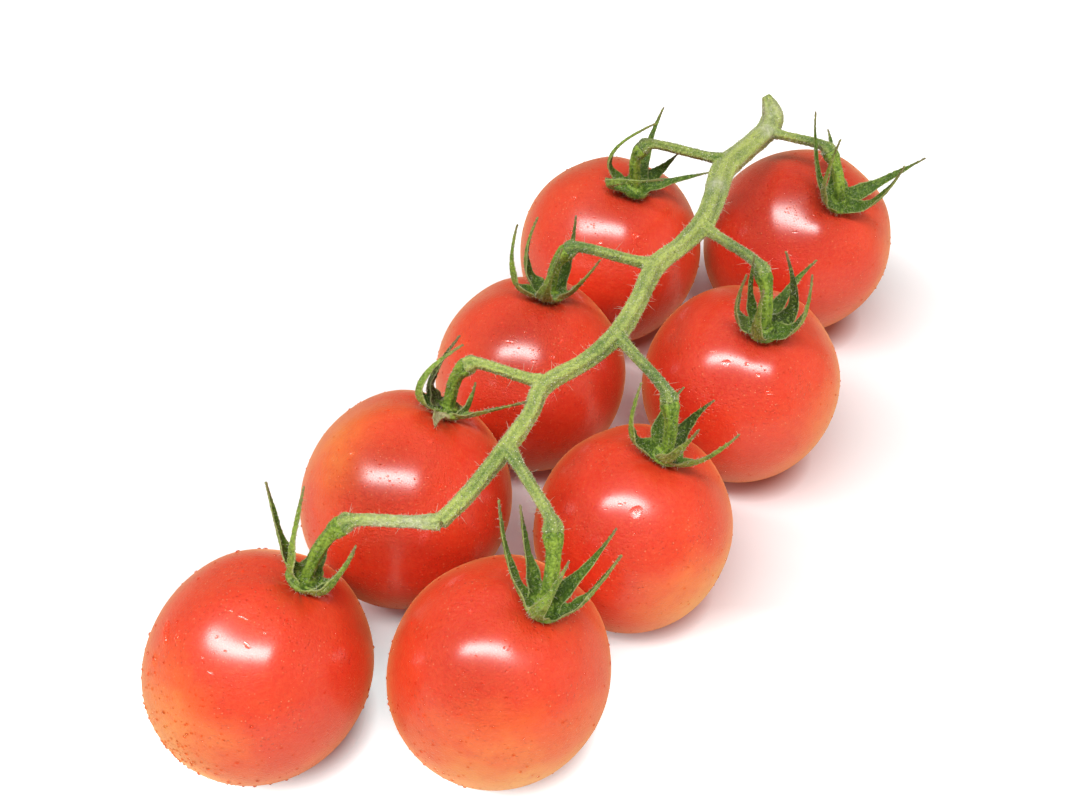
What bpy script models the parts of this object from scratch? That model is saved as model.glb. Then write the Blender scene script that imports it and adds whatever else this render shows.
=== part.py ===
"""A truss of eight cherry tomatoes, cut from the plant and lying on a table.

One main stem arches over two rows of fruit. Each fruit hangs on its own short stalk, which
has a swollen joint where a ripe fruit breaks off. What comes away with the fruit is its calyx:
the last stretch of stalk with the narrow green sepals at its foot.
The table is at z = 0, and the origin is under the middle of the truss.
"""

import math
from collections import namedtuple

import bpy
import bmesh
from mathutils import Matrix, Vector

MM = 0.001
# The gap left between two pieces that touch, in millimetres.
GAP = 0.3

# Each fruit, in millimetres: where it lies, its radius across, how much longer than wide it is,
# how far its stem end leans from upright and to which side, and how high it is held off the table.
Fruit = namedtuple("Fruit", "x y radius stretch lean heading lift")
FRUITS = (
    Fruit(x=-49.4, y=-49.3, radius=17.2, stretch=1.05, lean=33, heading=33, lift=0.0),
    Fruit(x=-12.8, y=-50.6, radius=17.0, stretch=1.09, lean=21, heading=6, lift=0.0),
    Fruit(x=-29.1, y=-19.0, radius=17.9, stretch=1.05, lean=30, heading=38, lift=0.9),
    Fruit(x=9.1, y=-24.0, radius=16.7, stretch=1.10, lean=14, heading=22, lift=0.0),
    Fruit(x=-8.3, y=11.7, radius=18.1, stretch=1.03, lean=14, heading=38, lift=0.0),
    Fruit(x=30.8, y=8.3, radius=18.2, stretch=1.08, lean=15, heading=-79, lift=0.0),
    Fruit(x=8.0, y=46.0, radius=19.0, stretch=1.05, lean=16, heading=-44, lift=0.0),
    Fruit(x=47.5, y=48.4, radius=19.1, stretch=1.06, lean=28, heading=-67, lift=0.0),
)

# A fruit's outline: squareness over 2 is fuller than an ellipse. It has a dimple at the stem end.
SQUARENESS = 2.12
DIMPLE_DEPTH = 1.2
DIMPLE_WIDTH = 4.0
PROFILE_POINTS = 15
FRUIT_STEPS = 26
# How much of a fruit's underside is trimmed to a small flat resting spot.
FLAT_DEPTH = 0.35

# The main stem from its cut end to its last joint: x, y, z and radius.
MAIN_STEM = (
    (37.8, 56.6, 50.2, 0.9),
    (38.9, 55.7, 48.2, 1.5),
    (39.4, 54.6, 46.4, 2.0),
    (38.4, 53.2, 44.6, 2.3),
    (33.8, 47.0, 44.8, 2.3),
    (28.3, 39.6, 45.0, 2.5),
    (25.5, 30.7, 44.8, 2.2),
    (22.7, 23.8, 44.5, 2.1),
    (18.3, 18.1, 44.2, 1.8),
    (13.5, 12.9, 44.0, 1.9),
    (9.9, 4.3, 43.7, 1.7),
    (6.3, -3.0, 43.5, 1.8),
    (0.9, -9.3, 43.4, 1.5),
    (-5.9, -14.7, 43.4, 1.6),
    (-8.0, -20.5, 43.4, 1.45),
    (-11.4, -26.9, 43.2, 1.55),
    (-16.7, -35.0, 42.5, 1.35),
    (-20.8, -39.9, 41.8, 1.3),
)
# Stretches of tube between two of the main stem's points.
STEM_STEPS = 2

# Each fruit's stalk: where it leaves the main stem, and where its swollen joint is.
Stalk = namedtuple("Stalk", "root joint")
STALKS = (
    Stalk(root=(-20.8, -39.9, 41.8), joint=(-34.6, -40.4, 41.8)),
    Stalk(root=(-11.4, -26.9, 43.2), joint=(-4.7, -44.0, 44.9)),
    Stalk(root=(-5.9, -14.2, 43.6), joint=(-17.9, -11.9, 45.0)),
    Stalk(root=(6.0, -3.0, 43.5), joint=(13.4, -19.6, 44.8)),
    Stalk(root=(13.5, 13.3, 44.1), joint=(-1.5, 15.3, 45.7)),
    Stalk(root=(22.7, 23.8, 44.5), joint=(31.0, 7.2, 47.3)),
    Stalk(root=(29.0, 42.0, 45.6), joint=(12.9, 42.2, 48.1)),
    Stalk(root=(38.4, 53.2, 44.6), joint=(48.8, 43.4, 46.3)),
)
STALK_RADIUS = 1.1
JOINT_RADIUS = 1.45
FORK_RADIUS = 1.4
LOWER_STALK_RADIUS = 1.25
STALK_STEPS = 7
LOWER_STALK_STEPS = 6
JOINT_LENGTH = 0.8
# How much more the joint follows the lower stalk's direction than the upper one's.
JOINT_UPRIGHTNESS = 1.6
# How far along a stalk its swelling reaches, as a part of its length.
SWELL_REACH = 0.18
# How far each end keeps its own direction, as a part of the stalk's length.
UPPER_BEND = 0.12
LOWER_BEND = 0.3
ROOT_BEND = 0.45
TUBE_RESOLUTION = 2

# Each sepal leaves the calyx at an azimuth, bellies out by a radius, and ends at a reach and a
# height from the stalk's foot, turned by sweep degrees. The azimuth is about the fruit's axis.
Sepal = namedtuple("Sepal", "azimuth belly reach height sweep")
SEPALS = (
    (
        Sepal(164, 3.6, 11.0, 13.0, -5),
        Sepal(187, 4.2, 5.5, 16.8, -10),
        Sepal(300, 7.2, 4.8, 12.2, 8),
        Sepal(330, 5.0, 5.0, 12.0, -5),
        Sepal(70, 6.0, 6.5, 6.0, 0),
    ),
    (
        Sepal(197, 4.5, 13.5, 13.0, -46),
        Sepal(122, 4.0, 11.2, 11.0, 8),
        Sepal(239, 6.5, 2.4, 13.8, 16),
        Sepal(34, 4.0, 9.0, 13.2, 6),
        Sepal(335, 6.1, 4.5, 17.0, 20),
    ),
    (
        Sepal(195, 11.2, 2.8, 13.5, -2),
        Sepal(162, 7.3, 2.0, 13.6, 0),
        Sepal(322, 4.6, 2.4, 7.6, 0),
        Sepal(304, 4.4, 12.2, 11.6, 7),
        Sepal(238, 6.0, 7.0, 0.5, 15),
    ),
    (
        Sepal(184, 9.2, 7.0, 13.3, -8),
        Sepal(110, 6.0, 12.0, 5.0, -35),
        Sepal(57, 7.8, 5.6, 10.2, -23),
        Sepal(256, 4.6, 8.2, 14.2, 18),
        Sepal(296, 5.8, 10.3, 13.4, 15),
    ),
    (
        Sepal(209, 11.4, 8.4, 14.5, -20),
        Sepal(155, 7.9, 5.4, 14.0, -2),
        Sepal(247, 8.4, 5.6, 13.2, 18),
        Sepal(52, 5.8, 3.4, 14.8, 0),
        Sepal(324, 4.8, 8.0, 12.2, -10),
    ),
    (
        Sepal(182, 7.5, 5.8, 15.2, -18),
        Sepal(130, 5.2, 7.4, 14.6, -9),
        Sepal(239, 5.4, 4.5, 16.2, -28),
        Sepal(15, 9.0, 7.0, 13.5, 72),
        Sepal(60, 8.0, 14.0, 6.5, -8),
        Sepal(336, 8.0, 4.2, 16.5, 22),
    ),
    (
        Sepal(160, 12.0, 1.5, 17.5, -14),
        Sepal(190, 12.5, 6.0, 9.5, 110),
        Sepal(75, 6.3, 11.6, 11.8, 5),
        Sepal(42, 8.6, 6.0, 8.8, -20),
        Sepal(5, 4.0, 12.6, 8.6, -4),
    ),
    (
        Sepal(203, 6.4, 7.5, 17.2, -45),
        Sepal(176, 5.6, 14.2, 12.6, -42),
        Sepal(96, 7.8, 13.5, 4.0, 10),
        Sepal(25, 7.0, 14.8, 10.4, 2),
        Sepal(330, 7.9, 5.8, 16.5, 36),
    ),
)
SEPAL_WIDTH = 3.2
SEPAL_TIP_WIDTH = 0.6
SEPAL_TAPER = 1.3
SEPAL_THICKNESS = 0.7
SEPAL_ROWS = 6
SEPAL_ROOT_RADIUS = 1.0
SEPAL_ROOT_HEIGHT = 0.35
SEPAL_BELLY_HEIGHT = 1.0
# How far a sepal's edges are raised above its middle line, as a part of its width.
SEPAL_FOLD = 0.22
HUB_RADIUS = 2.4
HUB_HEIGHT = 1.6
# How far below the top of the fruit's outline the foot of the stalk sits.
CALYX_SEAT = 0.55

# The slab that trims the fruit, in metres.
SLAB_SIDE = 0.3
SLAB_DEPTH = 0.01
# Corners closer than this, in metres, are one corner.
WELD_DISTANCE = 0.00001

# Name, colour, roughness and metallic value of each finish.
FINISHES = {
    "tomato_skin": ((0.80, 0.055, 0.022, 1.0), 0.22, 0.0),
    "calyx_green": ((0.075, 0.19, 0.03, 1.0), 0.6, 0.0),
    "stem_green": ((0.26, 0.40, 0.09, 1.0), 0.6, 0.0),
}


def clear_scene():
    """Remove every object that the file opened with."""
    for obj in list(bpy.data.objects):
        bpy.data.objects.remove(obj, do_unlink=True)


def new_collection(name):
    collection = bpy.data.collections.new(name)
    bpy.context.scene.collection.children.link(collection)
    return collection


def make_material(name, colour, roughness, metallic):
    material = bpy.data.materials.new(name)
    material.use_nodes = True
    shader = material.node_tree.nodes["Principled BSDF"]
    shader.inputs["Base Color"].default_value = colour
    shader.inputs["Roughness"].default_value = roughness
    shader.inputs["Metallic"].default_value = metallic
    material.diffuse_color = colour
    return material


def fruit_axis(fruit):
    """Unit vector from the fruit's blossom end to its stem end."""
    lean = math.radians(fruit.lean)
    heading = math.radians(fruit.heading)
    return Vector((
        math.sin(lean) * math.cos(heading),
        math.sin(lean) * math.sin(heading),
        math.cos(lean),
    ))


def axis_frame(axis):
    """Rotation that stands +Z on the axis and keeps local X level with the table's Y."""
    across = Vector((0.0, 1.0, 0.0)).cross(axis).normalized()
    return Matrix((across, axis.cross(across), axis)).transposed()


def outline_point(fruit, angle):
    """Radius and height on the fruit's outline, angle 0 at the stem end and pi at the other."""
    power = 2.0 / SQUARENESS
    side = math.sin(angle)
    rise = math.cos(angle)
    radius = fruit.radius * side ** power
    height = fruit.radius * fruit.stretch * math.copysign(abs(rise) ** power, rise)
    if rise > 0.0:
        height -= DIMPLE_DEPTH * math.exp(-((radius / DIMPLE_WIDTH) ** 2))
    return radius, height


def fruit_reach_down(fruit):
    """How far the fruit's lowest point lies below its centre, as it leans."""
    lean = math.radians(fruit.lean)
    reach = 0.0
    for degree in range(181):
        radius, height = outline_point(fruit, math.radians(degree))
        reach = max(reach, radius * math.sin(lean) - height * math.cos(lean))
    return reach


def fruit_centre(fruit):
    height = fruit.lift + fruit_reach_down(fruit)
    if fruit.lift == 0.0:
        height -= FLAT_DEPTH
    return Vector((fruit.x, fruit.y, height))


def stalk_foot(fruit):
    """Where the calyx sits in the dimple, in millimetres."""
    seat = fruit.radius * fruit.stretch - CALYX_SEAT
    return fruit_centre(fruit) + fruit_axis(fruit) * seat


def turned_fruit(name, fruit, material, collection):
    """The fruit's outline turned about its own axis, standing on a small flat spot."""
    mesh = bpy.data.meshes.new(name)
    bm = bmesh.new()
    last = PROFILE_POINTS - 1
    corners = []
    for step in range(PROFILE_POINTS):
        radius, height = outline_point(fruit, math.pi * step / last)
        if step in (0, last):
            radius = 0.0
        corners.append(bm.verts.new((radius * MM, 0.0, height * MM)))
    for first, second in zip(corners, corners[1:]):
        bm.edges.new((first, second))
    bm.to_mesh(mesh)
    bm.free()
    obj = bpy.data.objects.new(name, mesh)
    collection.objects.link(obj)
    obj.data.materials.append(material)
    obj.location = fruit_centre(fruit) * MM
    obj.rotation_euler = axis_frame(fruit_axis(fruit)).to_euler()
    screw = obj.modifiers.new("turn", "SCREW")
    screw.axis = "Z"
    screw.steps = FRUIT_STEPS
    screw.render_steps = FRUIT_STEPS
    screw.use_merge_vertices = True
    screw.merge_threshold = WELD_DISTANCE
    screw.use_smooth_shade = True
    return obj


def table_cutter(collection):
    """A slab under the table's surface that trims each fruit's resting spot flat."""
    bpy.ops.mesh.primitive_cube_add(size=1.0)
    slab = bpy.context.object
    slab.name = "table_cutter"
    slab.data.transform(Matrix.Diagonal((SLAB_SIDE, SLAB_SIDE, SLAB_DEPTH, 1.0)))
    slab.location = (0.0, 0.0, -SLAB_DEPTH / 2.0)
    for owner in list(slab.users_collection):
        owner.objects.unlink(slab)
    collection.objects.link(slab)
    slab.hide_render = True
    slab.display_type = "WIRE"
    return slab


def trim_flat(obj, slab):
    trim = obj.modifiers.new("resting_spot", "BOOLEAN")
    trim.operation = "DIFFERENCE"
    trim.solver = "EXACT"
    trim.object = slab


def smooth_path(points, steps):
    """Points of a smooth curve through the given points, with steps stretches between each two.

    Each point is a tuple of x, y, z and radius.
    """
    path = []
    last = len(points) - 1
    for index in range(last):
        before = Vector(points[max(index - 1, 0)])
        here = Vector(points[index])
        there = Vector(points[index + 1])
        after = Vector(points[min(index + 2, last)])
        for step in range(steps):
            t = step / steps
            path.append(
                0.5 * (
                    2.0 * here
                    + (there - before) * t
                    + (2.0 * before - 5.0 * here + 4.0 * there - after) * t * t
                    + (3.0 * here - before - 3.0 * there + after) * t * t * t
                )
            )
    path.append(Vector(points[last]))
    return path


def bezier(ends, t):
    """Point at t on the cubic curve with these four control points."""
    a, b, c, d = ends
    s = 1.0 - t
    return a * s ** 3 + 3.0 * b * s * s * t + 3.0 * c * s * t * t + d * t ** 3


def tube_mesh(name, path):
    """Closed tube along a path of x, y, z and radius, as a mesh object with welded caps."""
    curve = bpy.data.curves.new(name, "CURVE")
    curve.dimensions = "3D"
    curve.bevel_depth = MM
    curve.bevel_resolution = TUBE_RESOLUTION
    curve.use_fill_caps = True
    spline = curve.splines.new("POLY")
    spline.points.add(len(path) - 1)
    for point, place in zip(spline.points, path):
        point.co = (place[0] * MM, place[1] * MM, place[2] * MM, 1.0)
        point.radius = place[3]
    route = bpy.data.objects.new(name + "_route", curve)
    bpy.context.scene.collection.objects.link(route)
    bpy.context.view_layer.update()
    graph = bpy.context.evaluated_depsgraph_get()
    mesh = bpy.data.meshes.new_from_object(route.evaluated_get(graph))
    bpy.data.objects.remove(route, do_unlink=True)
    weld_mesh(mesh)
    tube = bpy.data.objects.new(name, mesh)
    bpy.context.scene.collection.objects.link(tube)
    return tube


def weld_mesh(mesh):
    """Merge doubled corners and point the faces outwards."""
    bm = bmesh.new()
    bm.from_mesh(mesh)
    bmesh.ops.remove_doubles(bm, verts=bm.verts, dist=WELD_DISTANCE)
    bmesh.ops.recalc_face_normals(bm, faces=bm.faces)
    bm.to_mesh(mesh)
    bm.free()


def stalk_turn(index):
    """Joint of a stalk, and the stalk's direction there on its way up from the fruit."""
    foot = stalk_foot(FRUITS[index])
    joint = Vector(STALKS[index].joint)
    up = (joint - foot).normalized()
    along = (Vector(STALKS[index].root) - joint).normalized()
    return joint, (up * JOINT_UPRIGHTNESS + along).normalized()


def upper_stalk_path(index):
    """The stalk from the main stem to its joint."""
    joint, turn = stalk_turn(index)
    root = Vector(STALKS[index].root)
    span = (root - joint).length
    face = joint + turn * GAP * 0.5
    start = face + turn * JOINT_LENGTH
    ends = (start, start + turn * span * UPPER_BEND, root.lerp(joint, ROOT_BEND), root)
    path = [(*face, JOINT_RADIUS)]
    for step in range(STALK_STEPS + 1):
        t = step / STALK_STEPS
        swell = (JOINT_RADIUS - STALK_RADIUS) * math.exp(-((t / SWELL_REACH) ** 2))
        flare = (FORK_RADIUS - STALK_RADIUS) * math.exp(-(((1.0 - t) / SWELL_REACH) ** 2))
        path.append((*bezier(ends, t), STALK_RADIUS + swell + flare))
    return path


def lower_stalk_path(index):
    """The stalk from its joint down to the calyx."""
    fruit = FRUITS[index]
    joint, turn = stalk_turn(index)
    foot = stalk_foot(fruit)
    span = (joint - foot).length
    face = joint - turn * GAP * 0.5
    end = face - turn * JOINT_LENGTH
    rise = fruit_axis(fruit) * span * LOWER_BEND
    ends = (foot, foot + rise, end - turn * span * LOWER_BEND, end)
    path = []
    for step in range(LOWER_STALK_STEPS + 1):
        t = step / LOWER_STALK_STEPS
        swell = (JOINT_RADIUS - LOWER_STALK_RADIUS) * math.exp(-(((1.0 - t) / SWELL_REACH) ** 2))
        path.append((*bezier(ends, t), LOWER_STALK_RADIUS + swell))
    path.append((*face, JOINT_RADIUS))
    return path


def sepal_middle(sepal, t):
    """Point on a sepal's middle line, in millimetres about the stalk's foot."""
    azimuth = math.radians(sepal.azimuth)
    end_azimuth = math.radians(sepal.azimuth + sepal.sweep)
    outward = Vector((math.cos(azimuth), math.sin(azimuth), 0.0))
    end_outward = Vector((math.cos(end_azimuth), math.sin(end_azimuth), 0.0))
    root = outward * SEPAL_ROOT_RADIUS + Vector((0.0, 0.0, SEPAL_ROOT_HEIGHT))
    belly = outward * sepal.belly + Vector((0.0, 0.0, SEPAL_BELLY_HEIGHT))
    tip = end_outward * sepal.reach + Vector((0.0, 0.0, sepal.height))
    s = 1.0 - t
    return root * s * s + belly * 2.0 * s * t + tip * t * t


def sepal_width(t):
    """Full width of a sepal, broad at its foot and drawn out to a narrow tip."""
    return SEPAL_TIP_WIDTH + (SEPAL_WIDTH - SEPAL_TIP_WIDTH) * (1.0 - t ** SEPAL_TAPER)


def sepal_blade(name, sepal):
    """A narrow channelled blade: an open sheet bent along its middle line, given thickness."""
    bm = bmesh.new()
    bmesh.ops.create_grid(bm, x_segments=2, y_segments=SEPAL_ROWS, size=1.0)
    nearby = 0.01
    for vert in bm.verts:
        across = vert.co.x
        t = (vert.co.y + 1.0) / 2.0
        middle = sepal_middle(sepal, t)
        before = sepal_middle(sepal, max(t - nearby, 0.0))
        ahead = sepal_middle(sepal, min(t + nearby, 1.0)) - before
        turned = math.radians(sepal.azimuth + sepal.sweep * t)
        side = Vector((-math.sin(turned), math.cos(turned), 0.0))
        side = (side - ahead * side.dot(ahead) / ahead.length_squared).normalized()
        inner = ahead.normalized().cross(side)
        width = sepal_width(t)
        place = middle + side * across * width / 2.0 + inner * abs(across) * width * SEPAL_FOLD
        vert.co = place * MM
    mesh = bpy.data.meshes.new(name)
    bm.to_mesh(mesh)
    bm.free()
    blade = bpy.data.objects.new(name, mesh)
    bpy.context.scene.collection.objects.link(blade)
    thicken = blade.modifiers.new("thickness", "SOLIDIFY")
    thicken.thickness = SEPAL_THICKNESS * MM
    thicken.offset = 0.0
    return blade


def applied(obj):
    """The object's evaluated mesh, in world space, as a new plain object."""
    bpy.context.view_layer.update()
    graph = bpy.context.evaluated_depsgraph_get()
    mesh = bpy.data.meshes.new_from_object(obj.evaluated_get(graph))
    mesh.transform(obj.matrix_world)
    weld_mesh(mesh)
    plain = bpy.data.objects.new(obj.name + "_plain", mesh)
    bpy.context.scene.collection.objects.link(plain)
    bpy.data.objects.remove(obj, do_unlink=True)
    return plain


def fused(name, pieces, material, collection):
    """One solid made of pieces that run into each other."""
    group = bpy.data.collections.new(name + "_pieces")
    bpy.context.scene.collection.children.link(group)
    base, *others = pieces
    for piece in others:
        for owner in list(piece.users_collection):
            owner.objects.unlink(piece)
        group.objects.link(piece)
    union = base.modifiers.new("union", "BOOLEAN")
    union.operation = "UNION"
    union.solver = "EXACT"
    union.operand_type = "COLLECTION"
    union.collection = group
    bpy.context.view_layer.update()
    graph = bpy.context.evaluated_depsgraph_get()
    mesh = bpy.data.meshes.new_from_object(base.evaluated_get(graph))
    for piece in pieces:
        bpy.data.objects.remove(piece, do_unlink=True)
    bpy.data.collections.remove(group)
    mesh.name = name
    mesh.materials.clear()
    mesh.materials.append(material)
    mesh.shade_smooth()
    mesh.set_sharp_from_angle(angle=math.radians(50))
    obj = bpy.data.objects.new(name, mesh)
    collection.objects.link(obj)
    return obj


def calyx_hub(name):
    """The low round base that the sepals and the stalk grow from."""
    bpy.ops.mesh.primitive_cylinder_add(
        vertices=12, radius=HUB_RADIUS * MM, depth=HUB_HEIGHT * MM, end_fill_type="TRIFAN"
    )
    hub = bpy.context.object
    hub.name = name
    hub.data.transform(Matrix.Translation((0.0, 0.0, HUB_HEIGHT * 0.5 * MM)))
    return hub


def build_calyx(index, material, collection):
    """Sepals, hub and the lower stalk of one fruit, grown together."""
    fruit = FRUITS[index]
    seat = axis_frame(fruit_axis(fruit)).to_4x4()
    seat.translation = stalk_foot(fruit) * MM
    pieces = []
    hub = calyx_hub("hub")
    hub.data.transform(seat)
    pieces.append(hub)
    for order, sepal in enumerate(SEPALS[index]):
        blade = sepal_blade(f"sepal_{order}", sepal)
        blade = applied(blade)
        blade.data.transform(seat)
        pieces.append(blade)
    pieces.append(tube_mesh("lower_stalk", lower_stalk_path(index)))
    return fused(f"calyx_{index + 1}", pieces, material, collection)


def build_stem(material, collection):
    """The main stem with the upper part of every stalk grown out of it."""
    pieces = [tube_mesh("main", smooth_path(MAIN_STEM, STEM_STEPS))]
    for index in range(len(FRUITS)):
        pieces.append(tube_mesh(f"upper_stalk_{index}", upper_stalk_path(index)))
    return fused("truss_stem", pieces, material, collection)


def main():
    clear_scene()
    truss = new_collection("tomato_truss")
    cutters = new_collection("cutters")
    finish = {name: make_material(name, *values) for name, values in FINISHES.items()}
    slab = table_cutter(cutters)
    for index, fruit in enumerate(FRUITS):
        tomato = turned_fruit(f"tomato_{index + 1}", fruit, finish["tomato_skin"], truss)
        if fruit.lift == 0.0:
            trim_flat(tomato, slab)
        build_calyx(index, finish["calyx_green"], truss)
    build_stem(finish["stem_green"], truss)


main()
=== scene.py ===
"""A truss of eight small tomatoes lying on a white table: fine shapes, finishes, light, camera.

Lengths are in millimetres where they are worked out, and become metres in the meshes.
The tables of fruit, stalks and sepals repeat those of the solid model, so each piece here lies
where its solid lies.
"""

import math
from collections import namedtuple

import bmesh
import bpy
import numpy as np
from mathutils import Matrix, Vector, bvhtree, kdtree, noise


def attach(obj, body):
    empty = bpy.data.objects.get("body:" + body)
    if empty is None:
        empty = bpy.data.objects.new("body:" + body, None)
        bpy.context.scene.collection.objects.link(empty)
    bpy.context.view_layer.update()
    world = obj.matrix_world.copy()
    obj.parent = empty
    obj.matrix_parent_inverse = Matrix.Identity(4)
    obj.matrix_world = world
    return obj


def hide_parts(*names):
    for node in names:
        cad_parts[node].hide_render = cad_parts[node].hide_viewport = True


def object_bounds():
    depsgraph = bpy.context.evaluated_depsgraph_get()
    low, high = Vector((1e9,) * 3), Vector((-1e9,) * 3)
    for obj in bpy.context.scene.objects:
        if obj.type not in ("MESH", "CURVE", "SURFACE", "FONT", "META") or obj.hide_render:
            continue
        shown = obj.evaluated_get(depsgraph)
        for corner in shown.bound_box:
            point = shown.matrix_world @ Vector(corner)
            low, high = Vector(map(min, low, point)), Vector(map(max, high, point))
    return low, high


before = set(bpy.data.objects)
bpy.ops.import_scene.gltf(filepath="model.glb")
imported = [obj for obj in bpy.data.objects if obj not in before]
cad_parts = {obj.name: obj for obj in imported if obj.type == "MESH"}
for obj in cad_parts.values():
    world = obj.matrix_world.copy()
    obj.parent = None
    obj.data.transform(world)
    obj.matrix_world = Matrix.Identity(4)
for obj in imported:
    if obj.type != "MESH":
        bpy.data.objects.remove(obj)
CAD_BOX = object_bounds()

MM = 0.001
SEED = 20

# Each fruit: where it lies, its radius across, how much longer than wide it is, how far its stem
# end leans from upright and to which side, and how high it is held off the table.
Fruit = namedtuple("Fruit", "x y radius stretch lean heading lift")
FRUITS = [Fruit(*row) for row in (
    (-49.4, -49.3, 17.2, 1.05, 33, 33, 0.0),
    (-12.8, -50.6, 17.0, 1.09, 21, 6, 0.0),
    (-29.1, -19.0, 17.9, 1.05, 30, 38, 0.9),
    (9.1, -24.0, 16.7, 1.10, 14, 22, 0.0),
    (-8.3, 11.7, 18.1, 1.03, 14, 38, 0.0),
    (30.8, 8.3, 18.2, 1.08, 15, -79, 0.0),
    (8.0, 46.0, 19.0, 1.05, 16, -44, 0.0),
    (47.5, 48.4, 19.1, 1.06, 28, -67, 0.0),
)]
# How ripe each fruit is, then the side on which it is paler and more orange and by how much.
RIPENESS = (0.66, 0.66, 0.76, 0.78, 0.78, 0.84, 0.78, 0.86)
# The paler, more orange side is partly the skin's own colour and partly painted light: bounce from
# the bright table and reflection of the bright room at the rims.
PALE_AND_BOUNCE_SIDES = (
    (-0.75, -0.65, 0.0), (0.1, -0.85, -0.3), (-0.5, 0.05, 0.8), (0.65, -0.65, -0.1),
    (-0.8, 0.2, 0.5), (0.85, -0.4, 0.1), (-0.7, 0.2, 0.6), (0.85, -0.3, 0.2),
)
PALE_AND_BOUNCE_AMOUNTS = (0.46, 0.46, 0.42, 0.55, 0.3, 0.55, 0.24, 0.34)
PALE_AND_BOUNCE_WIDTH = 0.8
# How much more dew lies low on the left side of each fruit.
LOW_DEW = (6.0, 2.4, 1.6, 1.2, 0.8, 0.5, 0.4, 0.4)
LOW_DEW_SIDE = (-0.6, -0.78, 0.05)
# How much more dew lies where each fruit mirrors the window.
BRIGHT_DEW = (0.8, 4.0, 9.0, 1.2, 9.0, 2.5, 4.0, 9.0)
BRIGHT_SIDE = (-0.14, -0.5, 0.86)
# The longest bead of dew on each fruit, in millimetres.
DEW_MOST = (0.38, 0.34, 0.32, 0.3, 0.32, 0.3, 0.3, 0.32)
# Ripe skin's colours, from the least ripe to the ripest.
RIPE_COLOURS = (
    (0.14, (0.93, 0.40, 0.075)), (0.32, (0.93, 0.24, 0.040)), (0.47, (0.89, 0.12, 0.020)),
    (0.64, (0.82, 0.048, 0.012)), (1.0, (0.74, 0.026, 0.011)),
)
SQUARENESS = 2.12
DIMPLE_DEPTH = 1.2
DIMPLE_WIDTH = 4.0
FLAT_DEPTH = 0.35
CALYX_SEAT = 0.55

# The skin has this share of the solid's own size, so that it stays in the solid's box.
SKIN_SCALE = 0.993
FRUIT_RINGS = 84
FRUIT_SEGMENTS = 112
RING_CROWDING = 1.25
SHOULDER_LOBES = 5
LOBE_DEPTH = 0.03
SHOULDER_ANGLE = 0.7
SHOULDER_WIDTH = 0.5
DENT_COUNT = 7
DENT_DEPTH = 0.014
DENT_WIDTH = 0.42
CREASE_DEPTH = 0.22
CREASE_COUNT = 11
CREASE_REACH = 3.8
TIP_SCAR_DEPTH = 0.3
TIP_SCAR_WIDTH = 0.9
EDGE_CLEARANCE = 0.4

# The main stem from its cut end to its last joint: x, y, z and radius.
MAIN_STEM = (
    (37.8, 56.6, 50.2, 0.85), (38.9, 55.7, 48.2, 1.85), (39.4, 54.6, 46.4, 2.4),
    (38.4, 53.2, 44.6, 2.3), (33.8, 47.0, 44.8, 2.3), (28.3, 39.6, 45.0, 2.5),
    (25.5, 30.7, 44.8, 2.2), (22.7, 23.8, 44.5, 2.1), (18.3, 18.1, 44.2, 1.8),
    (13.5, 12.9, 44.0, 1.9), (9.9, 4.3, 43.7, 1.7), (6.3, -3.0, 43.5, 1.8),
    (0.9, -9.3, 43.4, 1.5), (-5.9, -14.7, 43.4, 1.6), (-8.0, -20.5, 43.4, 1.45),
    (-11.4, -26.9, 43.2, 1.55), (-16.7, -35.0, 42.5, 1.35), (-20.8, -39.9, 41.8, 1.3),
)

# Each fruit's stalk: where it leaves the main stem, and where its swollen joint is.
Stalk = namedtuple("Stalk", "root joint")
STALKS = [Stalk(*row) for row in (
    ((-20.8, -39.9, 41.8), (-34.6, -40.4, 41.8)),
    ((-11.4, -26.9, 43.2), (-4.7, -44.0, 44.9)),
    ((-5.9, -14.2, 43.6), (-17.9, -11.9, 45.0)),
    ((6.0, -3.0, 43.5), (13.4, -19.6, 44.8)),
    ((13.5, 13.3, 44.1), (-1.5, 15.3, 45.7)),
    ((22.7, 23.8, 44.5), (31.0, 7.2, 47.3)),
    ((29.0, 42.0, 45.6), (12.9, 42.2, 48.1)),
    ((38.4, 53.2, 44.6), (48.8, 43.4, 46.3)),
)]
# How much darker and greener each stalk is than the main stem.
STALK_DARKNESS = (0.3, 0.6, 0.5, 1.5, 1.1, 1.0, 1.4, 1.2)
STALK_RADIUS = 0.92
LOWER_STALK_RADIUS = 1.05
JOINT_RADIUS = 1.5
FORK_RADIUS = 1.35
JOINT_LENGTH = 0.8
JOINT_UPRIGHTNESS = 1.6
SWELL_REACH = 0.12
UPPER_BEND = 0.12
LOWER_BEND = 0.3
ROOT_BEND = 0.45
# The two faces of a joint pass each other by this much where it is below zero.
GAP = -0.16
# How thick the main stem's skin is beside its solid.
STEM_SHARE = 0.92

# Pale dry places on the main stem: x, y, z and how far the paleness reaches.
PALE_PLACES = (
    (39.2, 55.3, 47.4, 2.3),
    (-25.0, -40.6, 40.9, 3.2),
    (-29.5, -40.9, 41.2, 2.2),
    (26.0, 33.0, 46.4, 1.6),
    (38.0, 51.0, 46.6, 1.8),
)

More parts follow.
